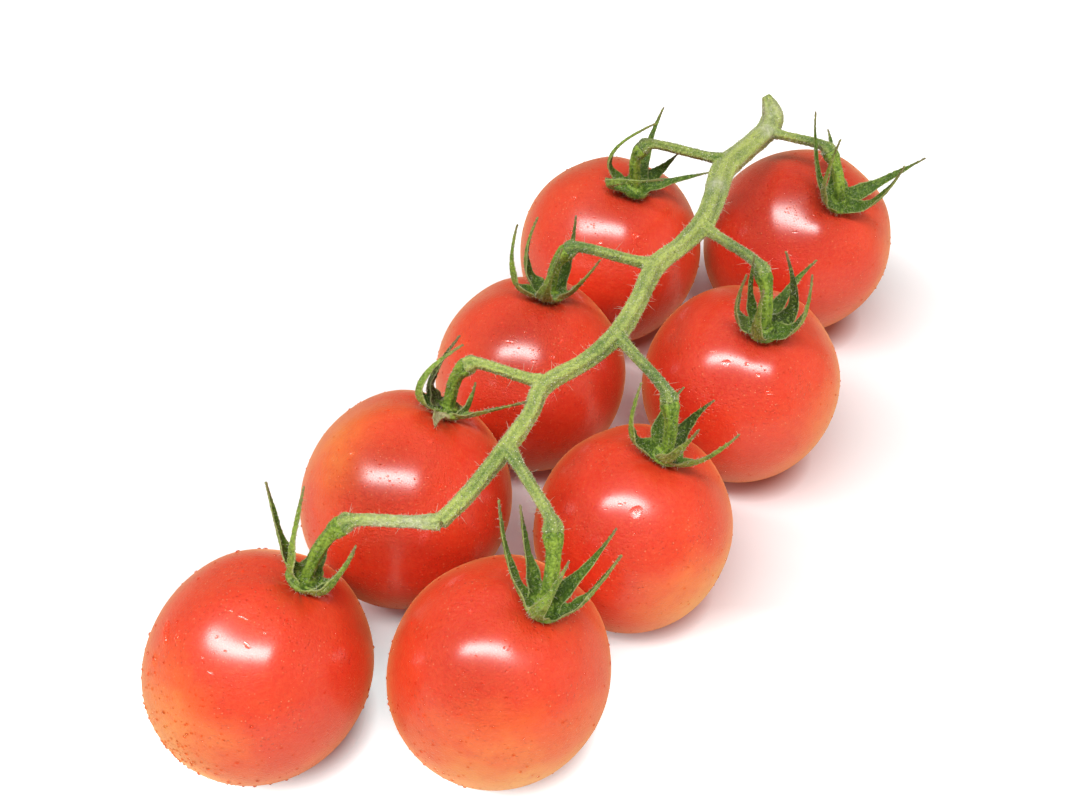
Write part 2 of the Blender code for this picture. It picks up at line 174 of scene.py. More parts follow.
# Each sepal leaves the calyx at an azimuth, bellies out by a radius, and ends at a reach and a
# height from the stalk's foot, turned by sweep degrees. Its tone is 1 where it is nearly black
# and -1 where it is withered, and its breadth is a share of the usual.
Sepal = namedtuple("Sepal", "azimuth belly reach height sweep tone breadth", defaults=(0.0, 1.0))
SEPALS = (
    (
        (164, 3.6, 11.0, 13.0, -5), (187, 4.2, 5.5, 16.8, -10), (300, 7.2, 4.8, 12.2, 8),
        (330, 5.0, 5.0, 12.0, -5), (70, 6.0, 6.5, 6.0, 0),
    ),
    (
        (197, 4.5, 13.5, 13.0, -46), (122, 4.0, 11.2, 11.0, 8), (239, 6.5, 2.4, 13.8, 16),
        (34, 4.0, 9.0, 13.2, 6), (335, 6.1, 4.5, 17.0, 20),
    ),
    (
        (195, 11.2, 2.8, 13.5, -2), (162, 7.3, 2.0, 13.6, 0, 1.0, 1.2),
        (322, 4.6, 2.4, 7.6, 0, 0.6), (304, 4.4, 12.2, 11.6, 7, 0.0, 0.7),
        (238, 6.0, 7.0, 0.5, 15, -1.0, 0.6),
    ),
    (
        (184, 9.2, 7.0, 13.3, -8), (110, 6.0, 12.0, 5.0, -35), (57, 7.8, 5.6, 10.2, -23, 0.5),
        (256, 4.6, 8.2, 14.2, 18), (296, 5.8, 10.3, 13.4, 15),
    ),
    (
        (209, 11.4, 8.4, 14.5, -20), (155, 7.9, 5.4, 14.0, -2, 0.3), (247, 8.4, 5.6, 13.2, 18, 0.3),
        (52, 5.8, 3.4, 14.8, 0), (324, 4.8, 8.0, 12.2, -10),
    ),
    (
        (182, 7.5, 5.8, 15.2, -18, -0.15), (130, 5.2, 7.0, 12.6, -9, 0.3, 0.75),
        (239, 5.4, 4.5, 16.2, -28), (15, 9.0, 5.6, 15.0, 72, 0.6),
        (60, 8.0, 14.0, 6.5, -8, 0.0, 0.75), (336, 8.0, 4.2, 16.5, 22),
    ),
    (
        (160, 12.0, 1.5, 17.5, -14, 0.0, 0.6), (190, 12.5, 6.0, 9.5, 110), (75, 6.3, 11.6, 11.8, 5),
        (42, 8.6, 6.0, 8.8, -20), (5, 4.0, 12.6, 8.6, -4),
    ),
    (
        (203, 6.4, 7.5, 17.2, -45, 0.0, 1.25), (176, 5.6, 14.2, 12.6, -42, 0.0, 0.7),
        (96, 7.8, 13.5, 4.0, 10), (25, 7.0, 14.8, 10.4, 2), (330, 7.9, 5.8, 16.5, 36),
    ),
)
SEPAL_ROOT_RADIUS = 1.0
SEPAL_ROOT_HEIGHT = 0.35
SEPAL_BELLY_HEIGHT = 1.0
SEPAL_WIDTH = 4.7
SEPAL_TIP_WIDTH = 0.36
SEPAL_TAPER = 1.25
SEPAL_FOLD = 0.3
SEPAL_THICKNESS = 0.5
SEPAL_TIP_THICKNESS = 0.32
SEPAL_ROWS = 48
SEPAL_COLUMNS = 14
VEIN_COUNT = 3.5
VEIN_HEIGHT = 0.05
# The cup under the sepals, from its underside on the axis to its rim: radius and height.
CUP_PROFILE = (
    (0.0, -0.62), (1.1, -0.6), (1.8, -0.25), (2.5, 0.15), (3.0, 0.8),
    (2.8, 1.25), (2.2, 1.15), (1.6, 1.4), (0.0, 1.6),
)

# Drops of water: on which fruit, the column and row where the camera sees them in a picture of
# PICTURE_WIDTH by PICTURE_HEIGHT, how wide and long they are, how far they are turned, in
# degrees, and how high they stand.
Drop = namedtuple("Drop", "fruit column row width length turn height")
DROPS = [Drop(*row) for row in (
    (4, 636, 512, 2.2, 2.0, 15, 0.55), (4, 620, 505, 0.8, 0.7, 0, 0.3),
    (4, 606, 509, 0.5, 0.45, 0, 0.2), (5, 552, 357, 1.0, 0.8, 30, 0.35),
    (5, 533, 361, 0.9, 0.45, 0, 0.25), (5, 562, 341, 1.4, 0.6, 40, 0.3),
    (5, 510, 342, 2.0, 0.6, -20, 0.3), (1, 178, 638, 1.1, 1.7, 10, 0.5),
    (1, 211, 672, 1.1, 0.6, -25, 0.35), (1, 247, 645, 1.5, 0.7, -40, 0.4),
    (1, 243, 619, 2.0, 0.6, -20, 0.35), (1, 231, 612, 0.6, 0.5, 0, 0.3),
    (1, 264, 634, 0.7, 0.5, 0, 0.3), (1, 217, 637, 0.6, 0.5, 0, 0.25),
    (1, 203, 657, 0.6, 0.5, 0, 0.25), (1, 166, 632, 1.3, 4.2, 8, 0.4),
    (1, 155, 660, 1.2, 2.0, 0, 0.4), (1, 190, 576, 2.2, 3.4, -48, 0.4),
    (6, 726, 363, 1.9, 1.2, -15, 0.5), (6, 713, 352, 1.1, 0.5, -10, 0.3),
    (6, 747, 364, 0.9, 0.8, 0, 0.35), (6, 769, 392, 1.5, 1.2, 10, 0.45),
    (6, 758, 375, 0.9, 0.8, 0, 0.3), (6, 674, 330, 0.6, 0.5, 0, 0.25),
    (6, 727, 327, 0.6, 0.5, 0, 0.25), (8, 795, 232, 1.3, 0.6, -5, 0.3),
    (8, 788, 250, 0.7, 0.6, 0, 0.25), (8, 783, 256, 0.6, 0.5, 0, 0.25),
    (8, 792, 259, 0.5, 0.5, 0, 0.2), (7, 635, 236, 1.7, 1.2, 5, 0.5),
    (7, 601, 242, 1.2, 0.7, 10, 0.3), (7, 574, 198, 1.9, 0.5, 5, 0.3),
    (7, 590, 246, 0.6, 0.5, 0, 0.25), (3, 352, 454, 0.9, 0.6, 20, 0.3),
    (3, 430, 442, 0.7, 0.6, 0, 0.3), (2, 470, 612, 0.8, 0.6, 0, 0.3),
    (2, 424, 716, 0.9, 0.8, 0, 0.3),
)]
PICTURE_WIDTH = 1080
PICTURE_HEIGHT = 810
DROP_RINGS = 6
DROP_SIDES = 20
DROP_SINK = 0.06

# What stands on each skin: how many to a square metre, the least and the most length and the
# thickness, in metres, and how far a hair may lean, in radians. The thickness of a grain or a
# bead of dew is a share of its length.
FUZZ = dict(density=4.5e6, length_least=0.00016, length_most=0.00045, thickness=0.000026, lean=0.6)
LONG_HAIRS = dict(
    density=2.6e5, length_least=0.0006, length_most=0.002, thickness=0.000032, lean=0.6
)
# Pale grains on the stem: glands, their pale colour partly painted glints.
GLINT_GRAINS = dict(density=1.6e6, length_least=0.00004, length_most=0.00013, thickness=0.8, lean=0.0)
CALYX_HAIRS = dict(
    density=2.2e6, length_least=0.00012, length_most=0.0007, thickness=0.000024, lean=0.6
)
DEW = dict(density=1.9e5, length_least=0.00008, thickness=0.62, lean=0.0)

# The camera stands where it sees the truss as the photograph does.
CAMERA_PLACE = (-6.5, -132.8, 170.0)
CAMERA_TILT = 42.0
CAMERA_LENS = 36.67
SENSOR_WIDTH = 36.0

# The window is a narrow slanting panel, its place and slope as the camera sees them. The fill
# stands to the right. Places and sizes are in metres, powers in watts.
LIT_POINT = (0.0, 0.0, 0.02)
TOWARD_WINDOW = (-0.24, 0.38, 0.88)
WINDOW_DISTANCE = 0.8
WINDOW_SLOPE = (0.96, -0.28, 0.0)
WINDOW_SIZE = (0.9, 0.17)
WINDOW_POWER = 8.0
FILL_PLACE = (0.9, -0.2, 0.3)
FILL_SIZE = (0.5, 0.8)
FILL_POWER = 3.3
FILL_COLOUR = (1.0, 0.9, 0.78)

# The painted red-brown shadow on the table beside each fruit's foot: how far to the right of the foot
# it lies, and where it is full and where it ends, as shares of the fruit's radius.
SHADE_SHIFT = 0.2
SHADE_CORE = 0.44
SHADE_REACH = 0.74
# Where the table's painted glow, seen by the camera only, starts and where it is full: from the truss
# outward, and along Y before its front fruit.
FAR_GLOW = (52.0, 95.0)
FRONT_GLOW = (-28.0, -42.0)


def fruit_axis(fruit):
    """Unit vector from the fruit's blossom end to its stem end."""
    lean = math.radians(fruit.lean)
    heading = math.radians(fruit.heading)
    return Vector((
        math.sin(lean) * math.cos(heading),
        math.sin(lean) * math.sin(heading),
        math.cos(lean),
    ))


def axis_frame(axis):
    """Rotation that stands +Z on the axis."""
    across = Vector((0.0, 1.0, 0.0)).cross(axis).normalized()
    return Matrix((across, axis.cross(across), axis)).transposed()


def outline(fruit, angle):
    """Radius and height on a fruit's outline, angle 0 at the stem end and pi at the other."""
    power = 2.0 / SQUARENESS
    rise = np.cos(angle)
    radius = fruit.radius * np.sin(angle) ** power
    height = fruit.radius * fruit.stretch * np.sign(rise) * np.abs(rise) ** power
    dimple = DIMPLE_DEPTH * np.exp(-((radius / DIMPLE_WIDTH) ** 2))
    return radius, height - np.where(rise > 0.0, dimple, 0.0)


def fruit_centre(fruit):
    lean = math.radians(fruit.lean)
    radius, height = outline(fruit, np.radians(np.arange(181)))
    reach = float(np.max(radius * math.sin(lean) - height * math.cos(lean)))
    return Vector((fruit.x, fruit.y, fruit.lift + reach - (0.0 if fruit.lift else FLAT_DEPTH)))


def stalk_foot(fruit):
    """Where the calyx sits in the dimple."""
    return fruit_centre(fruit) + fruit_axis(fruit) * (fruit.radius * fruit.stretch - CALYX_SEAT)


def shown(name, mesh):
    """An object for a mesh, a light or a camera, put in the scene."""
    obj = bpy.data.objects.new(name, mesh)
    bpy.context.scene.collection.objects.link(obj)
    return obj


def plain_object(name, verts, faces):
    """A mesh object from points in millimetres."""
    mesh = bpy.data.meshes.new(name)
    mesh.from_pydata([tuple(p) for p in np.asarray(verts) * MM], [], faces)
    mesh.update()
    return shown(name, mesh)


def points_of(obj):
    """The object's points in millimetres."""
    places = np.empty(len(obj.data.vertices) * 3, np.float32)
    obj.data.vertices.foreach_get("co", places)
    return places.reshape(-1, 3).astype(float) / MM


def point_attribute(obj, name, values):
    layer = obj.data.attributes.new(name, "FLOAT", "POINT")
    layer.data.foreach_set("value", np.asarray(values, np.float32))


def tube_faces(rings, sides):
    """Quads between rings of points, and a fan at each end to a last point there."""
    faces = []
    for ring in range(rings - 1):
        for side in range(sides):
            after = (side + 1) % sides
            low = ring * sides
            faces.append((low + side, low + after, low + sides + after, low + sides + side))
    start = rings * sides
    last = (rings - 1) * sides
    for side in range(sides):
        after = (side + 1) % sides
        faces.append((start, after, side))
        faces.append((start + 1, last + side, last + after))
    return faces


def bell(value, centre, width):
    """A smooth hump, 1 at its centre."""
    return np.exp(-(((value - centre) / width) ** 2))


def near(out, side, width):
    """A hump about one side of a fruit, for places given in fruit radii from its centre."""
    return bell(np.linalg.norm(out - side, axis=1), 0.0, width)


def build_fruit(index, finish):
    """One fruit's skin: lobes at its shoulders, soft dents, creases in its dimple, a scar."""
    fruit = FRUITS[index]
    draw = np.random.default_rng(SEED + index)
    phase = draw.uniform(0.0, 2.0 * math.pi, 6)
    steps = np.linspace(0.0, 1.0, FRUIT_RINGS + 2)[1:-1]
    angle = math.pi * steps ** RING_CROWDING
    turn = np.linspace(0.0, 2.0 * math.pi, FRUIT_SEGMENTS, endpoint=False)
    radius, height = outline(fruit, angle)
    radius, height, angle = (row[:, None] for row in (radius, height, angle))
    around = turn[None, :]
    wander = around + 0.25 * np.sin(around + phase[4])
    lobes = bell(angle, SHOULDER_ANGLE, SHOULDER_WIDTH) * (
        0.7 * (1.0 - np.cos(SHOULDER_LOBES * wander + phase[0])) / 2.0
        + 0.3 * (1.0 - np.cos(2.0 * around + phase[1])) / 2.0
    )
    unit = np.stack((
        np.sin(angle) * np.cos(around),
        np.sin(angle) * np.sin(around),
        np.broadcast_to(np.cos(angle), radius.shape[:1] + turn.shape),
    ), axis=-1)
    dents = np.zeros(unit.shape[:2])
    for _ in range(DENT_COUNT):
        toward = draw.normal(size=3)
        toward /= np.linalg.norm(toward)
        away = np.sqrt(np.maximum(2.0 - 2.0 * unit @ toward, 0.0))
        dents += draw.uniform(0.3, 1.0) * bell(away, 0.0, DENT_WIDTH)
    swell = SKIN_SCALE * (1.0 - LOBE_DEPTH * lobes - DENT_DEPTH * dents)
    crease = CREASE_DEPTH * bell(radius, 0.0, CREASE_REACH)
    crease = crease * (1.0 + np.cos(CREASE_COUNT * around + phase[3])) / 2.0
    scar = np.where(height < 0.0, TIP_SCAR_DEPTH * bell(radius, 0.0, TIP_SCAR_WIDTH), 0.0)
    skin_height = height * swell - np.where(height > 0.0, crease, 0.0) + scar
    local = np.stack((
        radius * swell * np.cos(around),
        radius * swell * np.sin(around),
        skin_height,
    ), axis=-1).reshape(-1, 3)
    ends = local.reshape(FRUIT_RINGS, FRUIT_SEGMENTS, 3)[(0, -1), :, 2].mean(axis=1)
    local = np.vstack((local, (0.0, 0.0, ends[0] - 0.02), (0.0, 0.0, ends[1] + 0.02)))
    turn_matrix = np.array(axis_frame(fruit_axis(fruit)))
    points = local @ turn_matrix.T + np.array(fruit_centre(fruit))
    points[:, 2] = np.maximum(points[:, 2], 0.0)
    faces = [face[::-1] for face in tube_faces(FRUIT_RINGS, FRUIT_SEGMENTS)]
    obj = plain_object(f"fruit_{index + 1}", points, faces)
    across = np.hypot(local[:, 0], local[:, 1])
    upper = local[:, 2] > 0.0
    out = (points - np.array(fruit_centre(fruit))) / fruit.radius
    # Paler and more orange low down and on one side: partly the skin's own colour, partly painted
    # light from the bright table and room.
    pale = PALE_AND_BOUNCE_AMOUNTS[index] * near(out, PALE_AND_BOUNCE_SIDES[index], PALE_AND_BOUNCE_WIDTH)
    point_attribute(obj, "ripeness_and_painted_light", RIPENESS[index] + 0.1 * out[:, 2] - pale)
    damp = BRIGHT_DEW[index] / max(BRIGHT_DEW) * near(out, BRIGHT_SIDE, 0.4)
    point_attribute(obj, "damp", damp)
    # Painted shade in the dimple about the stem end.
    point_attribute(obj, "stem_end", np.where(upper, bell(across, 0.0, 4.6), 0.0))
    point_attribute(obj, "tip_scar", np.where(upper, 0.0, bell(across, 0.0, 0.8)))
    point_attribute(obj, "cover", dew_share(points, out, index, draw))
    obj.data.shade_smooth()
    obj.data.materials.append(finish)
    return obj


def dew_share(points, out, index, draw):
    """How thickly dew lies on a fruit's skin: in patches, none where it rests on the table."""
    share = np.full(len(points), 0.25)
    share += LOW_DEW[index] * near(out, LOW_DEW_SIDE, 0.55)
    share += BRIGHT_DEW[index] * near(out, BRIGHT_SIDE, 0.32)
    for _ in range(5):
        toward = draw.normal(size=3)
        toward[2] = abs(toward[2]) * 0.6
        toward /= np.linalg.norm(toward)
        share += draw.uniform(0.2, 0.9) * near(out, toward, 0.45)
    low, high = (np.array(corner) / MM for corner in CAD_BOX)
    clear = np.minimum(points - low, high - points).min(axis=1)
    return share * np.clip((points[:, 2] - 1.0) / 3.0, 0.0, 1.0) * (clear > EDGE_CLEARANCE)


def smooth_path(points, steps):
    """Points of a smooth curve through the given points, which are x, y, z and radius."""
    path = []
    last = len(points) - 1
    for index in range(last):
        before = np.array(points[max(index - 1, 0)])
        here = np.array(points[index])
        there = np.array(points[index + 1])
        after = np.array(points[min(index + 2, last)])
        for step in range(steps):
            t = step / steps
            path.append(
                0.5 * (
                    2.0 * here
                    + (there - before) * t
                    + (2.0 * before - 5.0 * here + 4.0 * there - after) * t * t
                    + (3.0 * here - before - 3.0 * there + after) * t * t * t
                )
            )
    path.append(np.array(points[last]))
    return np.array(path)


def bezier(ends, t):
    a, b, c, d = ends
    s = 1.0 - t
    return a * s ** 3 + 3.0 * b * s * s * t + 3.0 * c * s * t * t + d * t ** 3


def stalk_turn(index):
    """Joint of a stalk, and the stalk's direction there on its way up from the fruit."""
    foot = stalk_foot(FRUITS[index])
    joint = Vector(STALKS[index].joint)
    up = (joint - foot).normalized()
    along = (Vector(STALKS[index].root) - joint).normalized()
    return joint, (up * JOINT_UPRIGHTNESS + along).normalized()


def upper_stalk_path(index, steps=26):
    """The stalk from its joint to the main stem: x, y, z and radius."""
    joint, turn = stalk_turn(index)
    root = Vector(STALKS[index].root)
    span = (root - joint).length
    face = joint + turn * GAP * 0.5
    start = face + turn * JOINT_LENGTH
    ends = (start, start + turn * span * UPPER_BEND, root.lerp(joint, ROOT_BEND), root)
    path = [(*face, JOINT_RADIUS * 0.93), (*(face + turn * JOINT_LENGTH * 0.35), JOINT_RADIUS)]
    for step in range(steps + 1):
        t = step / steps
        swell = (JOINT_RADIUS - STALK_RADIUS) * bell(t, 0.0, SWELL_REACH)
        flare = (FORK_RADIUS - STALK_RADIUS) * bell(t, 1.0, SWELL_REACH)
        path.append((*bezier(ends, t), STALK_RADIUS + swell + flare))
    return np.array(path)


def lower_stalk_path(index, steps=22):
    """The stalk from the calyx up to its joint: x, y, z and radius."""
    fruit = FRUITS[index]
    joint, turn = stalk_turn(index)
    foot = stalk_foot(fruit)
    span = (joint - foot).length
    face = joint - turn * GAP * 0.5
    end = face - turn * JOINT_LENGTH
    rise = fruit_axis(fruit) * span * LOWER_BEND
    ends = (foot, foot + rise, end - turn * span * LOWER_BEND, end)
    path = []
    for step in range(steps + 1):
        t = step / steps
        swell = (JOINT_RADIUS - LOWER_STALK_RADIUS) * bell(t, 1.0, SWELL_REACH)
        path.append((*bezier(ends, t), LOWER_STALK_RADIUS + swell))
    path.append((*(face - turn * JOINT_LENGTH * 0.35), JOINT_RADIUS))
    path.append((*face, JOINT_RADIUS * 0.93))
    return np.array(path)


def swept_tube(name, path, sides=24, ridges=5, ridge_depth=0.08, twist=0.05, phase=0.0):
    """A ridged, slightly lumpy stalk swept along a path and closed at both ends.

    Returned with its points and how far each stands out on a ridge, 0 to 1.
    """
    places = path[:, :3]
    radii = path[:, 3]
    along = np.gradient(places, axis=0)
    along /= np.linalg.norm(along, axis=1)[:, None]
    lengths = np.concatenate(([0.0], np.cumsum(np.linalg.norm(np.diff(places, axis=0), axis=1))))
    side = np.cross(along[0], (0.0, 0.0, 1.0))
    if np.linalg.norm(side) < 0.1:
        side = np.cross(along[0], (0.0, 1.0, 0.0))
    turn = np.linspace(0.0, 2.0 * math.pi, sides, endpoint=False)
    rings, rises = [], []
    for place, radius, forward, length in zip(places, radii, along, lengths):
        side = side - forward * np.dot(side, forward)
        side /= np.linalg.norm(side)
        other = np.cross(forward, side)
        rise = (1.0 + np.cos(ridges * turn + phase + twist * length)) / 2.0
        lump = 0.03 * np.sin(0.9 * length + 2.0 * turn + phase) * np.sin(0.37 * length + phase)
        bulge = 1.0 + ridge_depth * 2.0 * (rise - 0.6) + lump
        rings.append(place + radius * bulge[:, None] * (
            np.cos(turn)[:, None] * side + np.sin(turn)[:, None] * other
        ))
        rises.append(rise)
    points = np.vstack((*rings, places[0], places[-1]))
    obj = plain_object(name, points, tube_faces(len(rings), sides))
    return obj, points, np.concatenate((*rises, (0.5, 0.5)))


def joined(name, pieces):
    """Several mesh objects made one."""
    bm = bmesh.new()
    for piece in pieces:
        bm.from_mesh(piece.data)
        bpy.data.objects.remove(piece, do_unlink=True)
    bmesh.ops.recalc_face_normals(bm, faces=bm.faces)
    mesh = bpy.data.meshes.new(name)
    bm.to_mesh(mesh)
    bm.free()
    return shown(name, mesh)


def evaluated_copy(obj, name):
    """The object's modifiers made into a plain mesh in an object of its own."""
    bpy.context.view_layer.update()
    graph = bpy.context.evaluated_depsgraph_get()
    mesh = bpy.data.meshes.new_from_object(obj.evaluated_get(graph))
    mesh.name = name
    return shown(name, mesh)


def grown_together(name, pieces, voxel, smoothing):
    """Pieces that run into each other, fused into one skin with soft joins."""
    rough = joined(name + "_rough", pieces)
    fuse = rough.modifiers.new("fuse", "REMESH")
    fuse.mode = "VOXEL"
    fuse.voxel_size = voxel * MM
    soften = rough.modifiers.new("soften", "SMOOTH")
    soften.factor = 0.5
    soften.iterations = smoothing
    made = evaluated_copy(rough, name)
    bpy.data.objects.remove(rough, do_unlink=True)
    made.data.shade_smooth()
    return made


def carry_facts(obj, points, facts):
    """Give each point of a fused skin the facts of the points nearest to it before the fusing."""
    tree = kdtree.KDTree(len(points))
    for number, point in enumerate(points):
        tree.insert(point, number)
    tree.balance()
    mixed = np.zeros((len(obj.data.vertices), len(facts)))
    table = np.stack(list(facts.values()), axis=-1)
    for number, place in enumerate(points_of(obj)):
        total = 0.0
        for _, found, distance in tree.find_n(place, 3):
            weight = 1.0 / (distance + 0.02)
            mixed[number] += table[found] * weight
            total += weight
        mixed[number] /= total
    for column, name in enumerate(facts):
        point_attribute(obj, name, mixed[:, column])


def roughen(obj, depth, spacing):
    """Push a skin in and out by fine grain, and keep the grain as an attribute, 0 to 1."""
    places = points_of(obj)
    normals = np.empty(len(places) * 3, np.float32)
    obj.data.vertex_normals.foreach_get("vector", normals)
    grain = np.array([
        noise.noise(Vector(place) / spacing) + 0.5 * noise.noise(Vector(place) / spacing * 2.3)
        for place in places
    ])
    moved = places + normals.reshape(-1, 3) * (depth * grain)[:, None]
    obj.data.vertices.foreach_set("co", (moved * MM).astype(np.float32).ravel())
    obj.data.update()
    point_attribute(obj, "grain", np.clip(0.5 + 0.7 * grain, 0.0, 1.0))


def build_stem(finish):
    """The main stem with the upper part of every stalk grown out of it."""
    path = smooth_path(MAIN_STEM, 9)
    path[:, 3] *= STEM_SHARE
    main, points, ridge = swept_tube("main", path, sides=30, ridges=5, ridge_depth=0.1)
    pieces, known, ridges, stalks = [main], [points], [ridge], [np.zeros(len(points))]
    for index in range(len(FRUITS)):
        path = upper_stalk_path(index)
        stalk, points, ridge = swept_tube(f"upper_{index}", path, ridge_depth=0.07, phase=index)
        pieces.append(stalk)
        known.append(points)
        ridges.append(ridge)
        reach = np.repeat(np.linspace(1.0, 0.35, len(path)), (len(points) - 2) // len(path))
        stalks.append(STALK_DARKNESS[index] * np.concatenate((reach, (1.0, 0.35))))
    obj = grown_together("main_stem", pieces, voxel=0.19, smoothing=2)
    carry_facts(obj, np.vstack(known), {
        "ridge": np.concatenate(ridges),
        "stalk_green": np.concatenate(stalks),
    })
    roughen(obj, depth=0.1, spacing=0.42)
    places = points_of(obj)
    pale = np.zeros(len(places))
    for x, y, z, reach in PALE_PLACES:
        pale = np.maximum(pale, bell(np.linalg.norm(places - (x, y, z), axis=1), 0.0, reach))
    point_attribute(obj, "pale", pale)
    point_attribute(obj, "cover", np.ones(len(places)))
    obj.data.materials.append(finish)
    return obj


def sepal_middle(sepal, t):
    """Points on a sepal's middle line about the stalk's foot."""
    t = np.asarray(t, float)[..., None]
    azimuth = math.radians(sepal.azimuth)
    end_azimuth = math.radians(sepal.azimuth + sepal.sweep)
    outward = np.array((math.cos(azimuth), math.sin(azimuth), 0.0))
    end_outward = np.array((math.cos(end_azimuth), math.sin(end_azimuth), 0.0))
    up = np.array((0.0, 0.0, 1.0))
    root = outward * SEPAL_ROOT_RADIUS + up * SEPAL_ROOT_HEIGHT
    belly = outward * sepal.belly + up * SEPAL_BELLY_HEIGHT
    tip = end_outward * sepal.reach + up * sepal.height
    s = 1.0 - t
    return root * s * s + belly * 2.0 * s * t + tip * t * t


def sepal_blade(name, sepal, draw):
    """A channelled, veined blade with waved edges and a drawn-out tip, and facts of its points."""
    t = np.linspace(0.0, 1.0, SEPAL_ROWS)
    u = np.linspace(-1.0, 1.0, SEPAL_COLUMNS + 1)
    middle = sepal_middle(sepal, t)
    ahead = np.gradient(middle, axis=0)
    ahead /= np.linalg.norm(ahead, axis=1)[:, None]
    turned = np.radians(sepal.azimuth + sepal.sweep * t)
    side = np.stack((-np.sin(turned), np.cos(turned), np.zeros_like(t)), axis=-1)
    side -= ahead * np.sum(side * ahead, axis=1)[:, None]
    side /= np.linalg.norm(side, axis=1)[:, None]
    inner = np.cross(ahead, side)
    twist = draw.uniform(-0.5, 0.5) * t ** 2
    side, inner = (
        side * np.cos(twist)[:, None] + inner * np.sin(twist)[:, None],
        inner * np.cos(twist)[:, None] - side * np.sin(twist)[:, None],
    )
    wave = draw.uniform(0.0, 2.0 * math.pi, 3)
    bend = draw.uniform(-0.9, 0.9, 2)
    late = np.clip((t - 0.6) / 0.4, 0.0, 1.0) ** 2
    middle = middle + side * (late * bend[0])[:, None] + inner * (late * bend[1])[:, None]
    broad = SEPAL_WIDTH * sepal.breadth
    width = SEPAL_TIP_WIDTH + (broad - SEPAL_TIP_WIDTH) * (1.0 - t) ** SEPAL_TAPER
    width *= 0.62 + 0.38 * np.clip(t / 0.12, 0.0, 1.0)
    width *= 1.0 + 0.06 * np.sin(17.0 * t + wave[0])
    thick = SEPAL_THICKNESS + (SEPAL_TIP_THICKNESS - SEPAL_THICKNESS) * t
    edge = np.abs(u)[None, :]
    ripple = 0.07 * np.sin(19.0 * t[:, None] + wave[1] + 2.0 * np.sign(u)[None, :]) * edge ** 3
    lift = SEPAL_FOLD * edge ** 1.6 * (0.6 + 0.4 * t[:, None]) + ripple
    sheet = (
        middle[:, None, :]
        + side[:, None, :] * (u[None, :] * width[:, None] / 2.0)[..., None]
        + inner[:, None, :] * (lift * width[:, None])[..., None]
    )
    veins = VEIN_HEIGHT * np.cos(2.0 * math.pi * VEIN_COUNT * edge) * np.minimum(width, 2.0)[:, None]
    keel = 0.3 * bell(u, 0.0, 0.2)[None, :] * thick[:, None]
    body = thick[:, None] * (0.4 + 0.6 * (1.0 - edge ** 2)) / 2.0
    upper = sheet + inner[:, None, :] * body[..., None]
    lower = sheet - inner[:, None, :] * (body + keel + veins * 0.5)[..., None]
    rows, columns = len(t), len(u)
    points = np.vstack((upper.reshape(-1, 3), lower.reshape(-1, 3)))
    under = rows * columns
    faces = []
    for row in range(rows - 1):
        for column in range(columns - 1):
            a = row * columns + column
            b = a + columns
            faces.append((a, a + 1, b + 1, b))
            faces.append((under + a, under + b, under + b + 1, under + a + 1))
    rim = [*range(columns)]
    rim += [row * columns + columns - 1 for row in range(1, rows)]
    rim += [(rows - 1) * columns + column for column in range(columns - 2, -1, -1)]
    rim += [row * columns for row in range(rows - 2, 0, -1)]
    for here, there in zip(rim, rim[1:] + rim[:1]):
        faces.append((here, under + here, under + there, there))
    obj = plain_object(name, points, faces)
    both = np.ones(2 * under)
    facts = {
        "sepal_along": np.tile(np.broadcast_to(t[:, None], (rows, columns)).ravel(), 2),
        "sepal_edge": np.tile(np.broadcast_to(edge, (rows, columns)).ravel(), 2),
        "sepal_inner": np.concatenate((both[:under], 0.0 * both[:under])),
        "sepal_tone": both * sepal.tone,
        "ridge": 0.5 * both,
        "stalk_green": 0.0 * both,
    }
    return obj, points, facts


def calyx_cup(name):
    sides = 24
    points = []
    for radius, height in CUP_PROFILE[1:-1]:
        for side in range(sides):
            turn = 2.0 * math.pi * side / sides
            points.append((radius * math.cos(turn), radius * math.sin(turn), height))
    points.append((0.0, 0.0, CUP_PROFILE[0][1]))
    points.append((0.0, 0.0, CUP_PROFILE[-1][1]))
    return plain_object(name, points, tube_faces(len(CUP_PROFILE) - 2, sides))


def build_calyx(index, finish):
    """Sepals, cup and the lower stalk of one fruit, grown together."""
    fruit = FRUITS[index]
    draw = np.random.default_rng(SEED * 3 + index)
    seat = axis_frame(fruit_axis(fruit))
    foot = stalk_foot(fruit)
    place = seat.to_4x4()
    place.translation = foot * MM
    cup = calyx_cup("cup")
    cup.data.transform(place)
    pieces, known, facts = [cup], [], []
    for row in SEPALS[index]:
        blade, points, told = sepal_blade("blade", Sepal(*row), draw)
        blade.data.transform(place)
        pieces.append(blade)
        known.append(points @ np.array(seat).T + np.array(foot))
        facts.append(told)
    path = lower_stalk_path(index)
    lower, points, ridge = swept_tube("lower", path, ridge_depth=0.07, phase=index * 1.3)
    pieces.append(lower)
    known.append(points)
    nothing = np.zeros(len(points))
    facts.append({**dict.fromkeys(told, nothing), "ridge": ridge, "stalk_green": nothing + 1.0})
    obj = grown_together(f"calyx_green_{index + 1}", pieces, voxel=0.11, smoothing=1)
    carry_facts(obj, np.vstack(known), {
        name: np.concatenate([told[name] for told in facts]) for name in facts[0]
    })
    roughen(obj, depth=0.08, spacing=0.42)
    point_attribute(obj, "cover", np.ones(len(obj.data.vertices)))
    obj.data.materials.append(finish)
    return obj


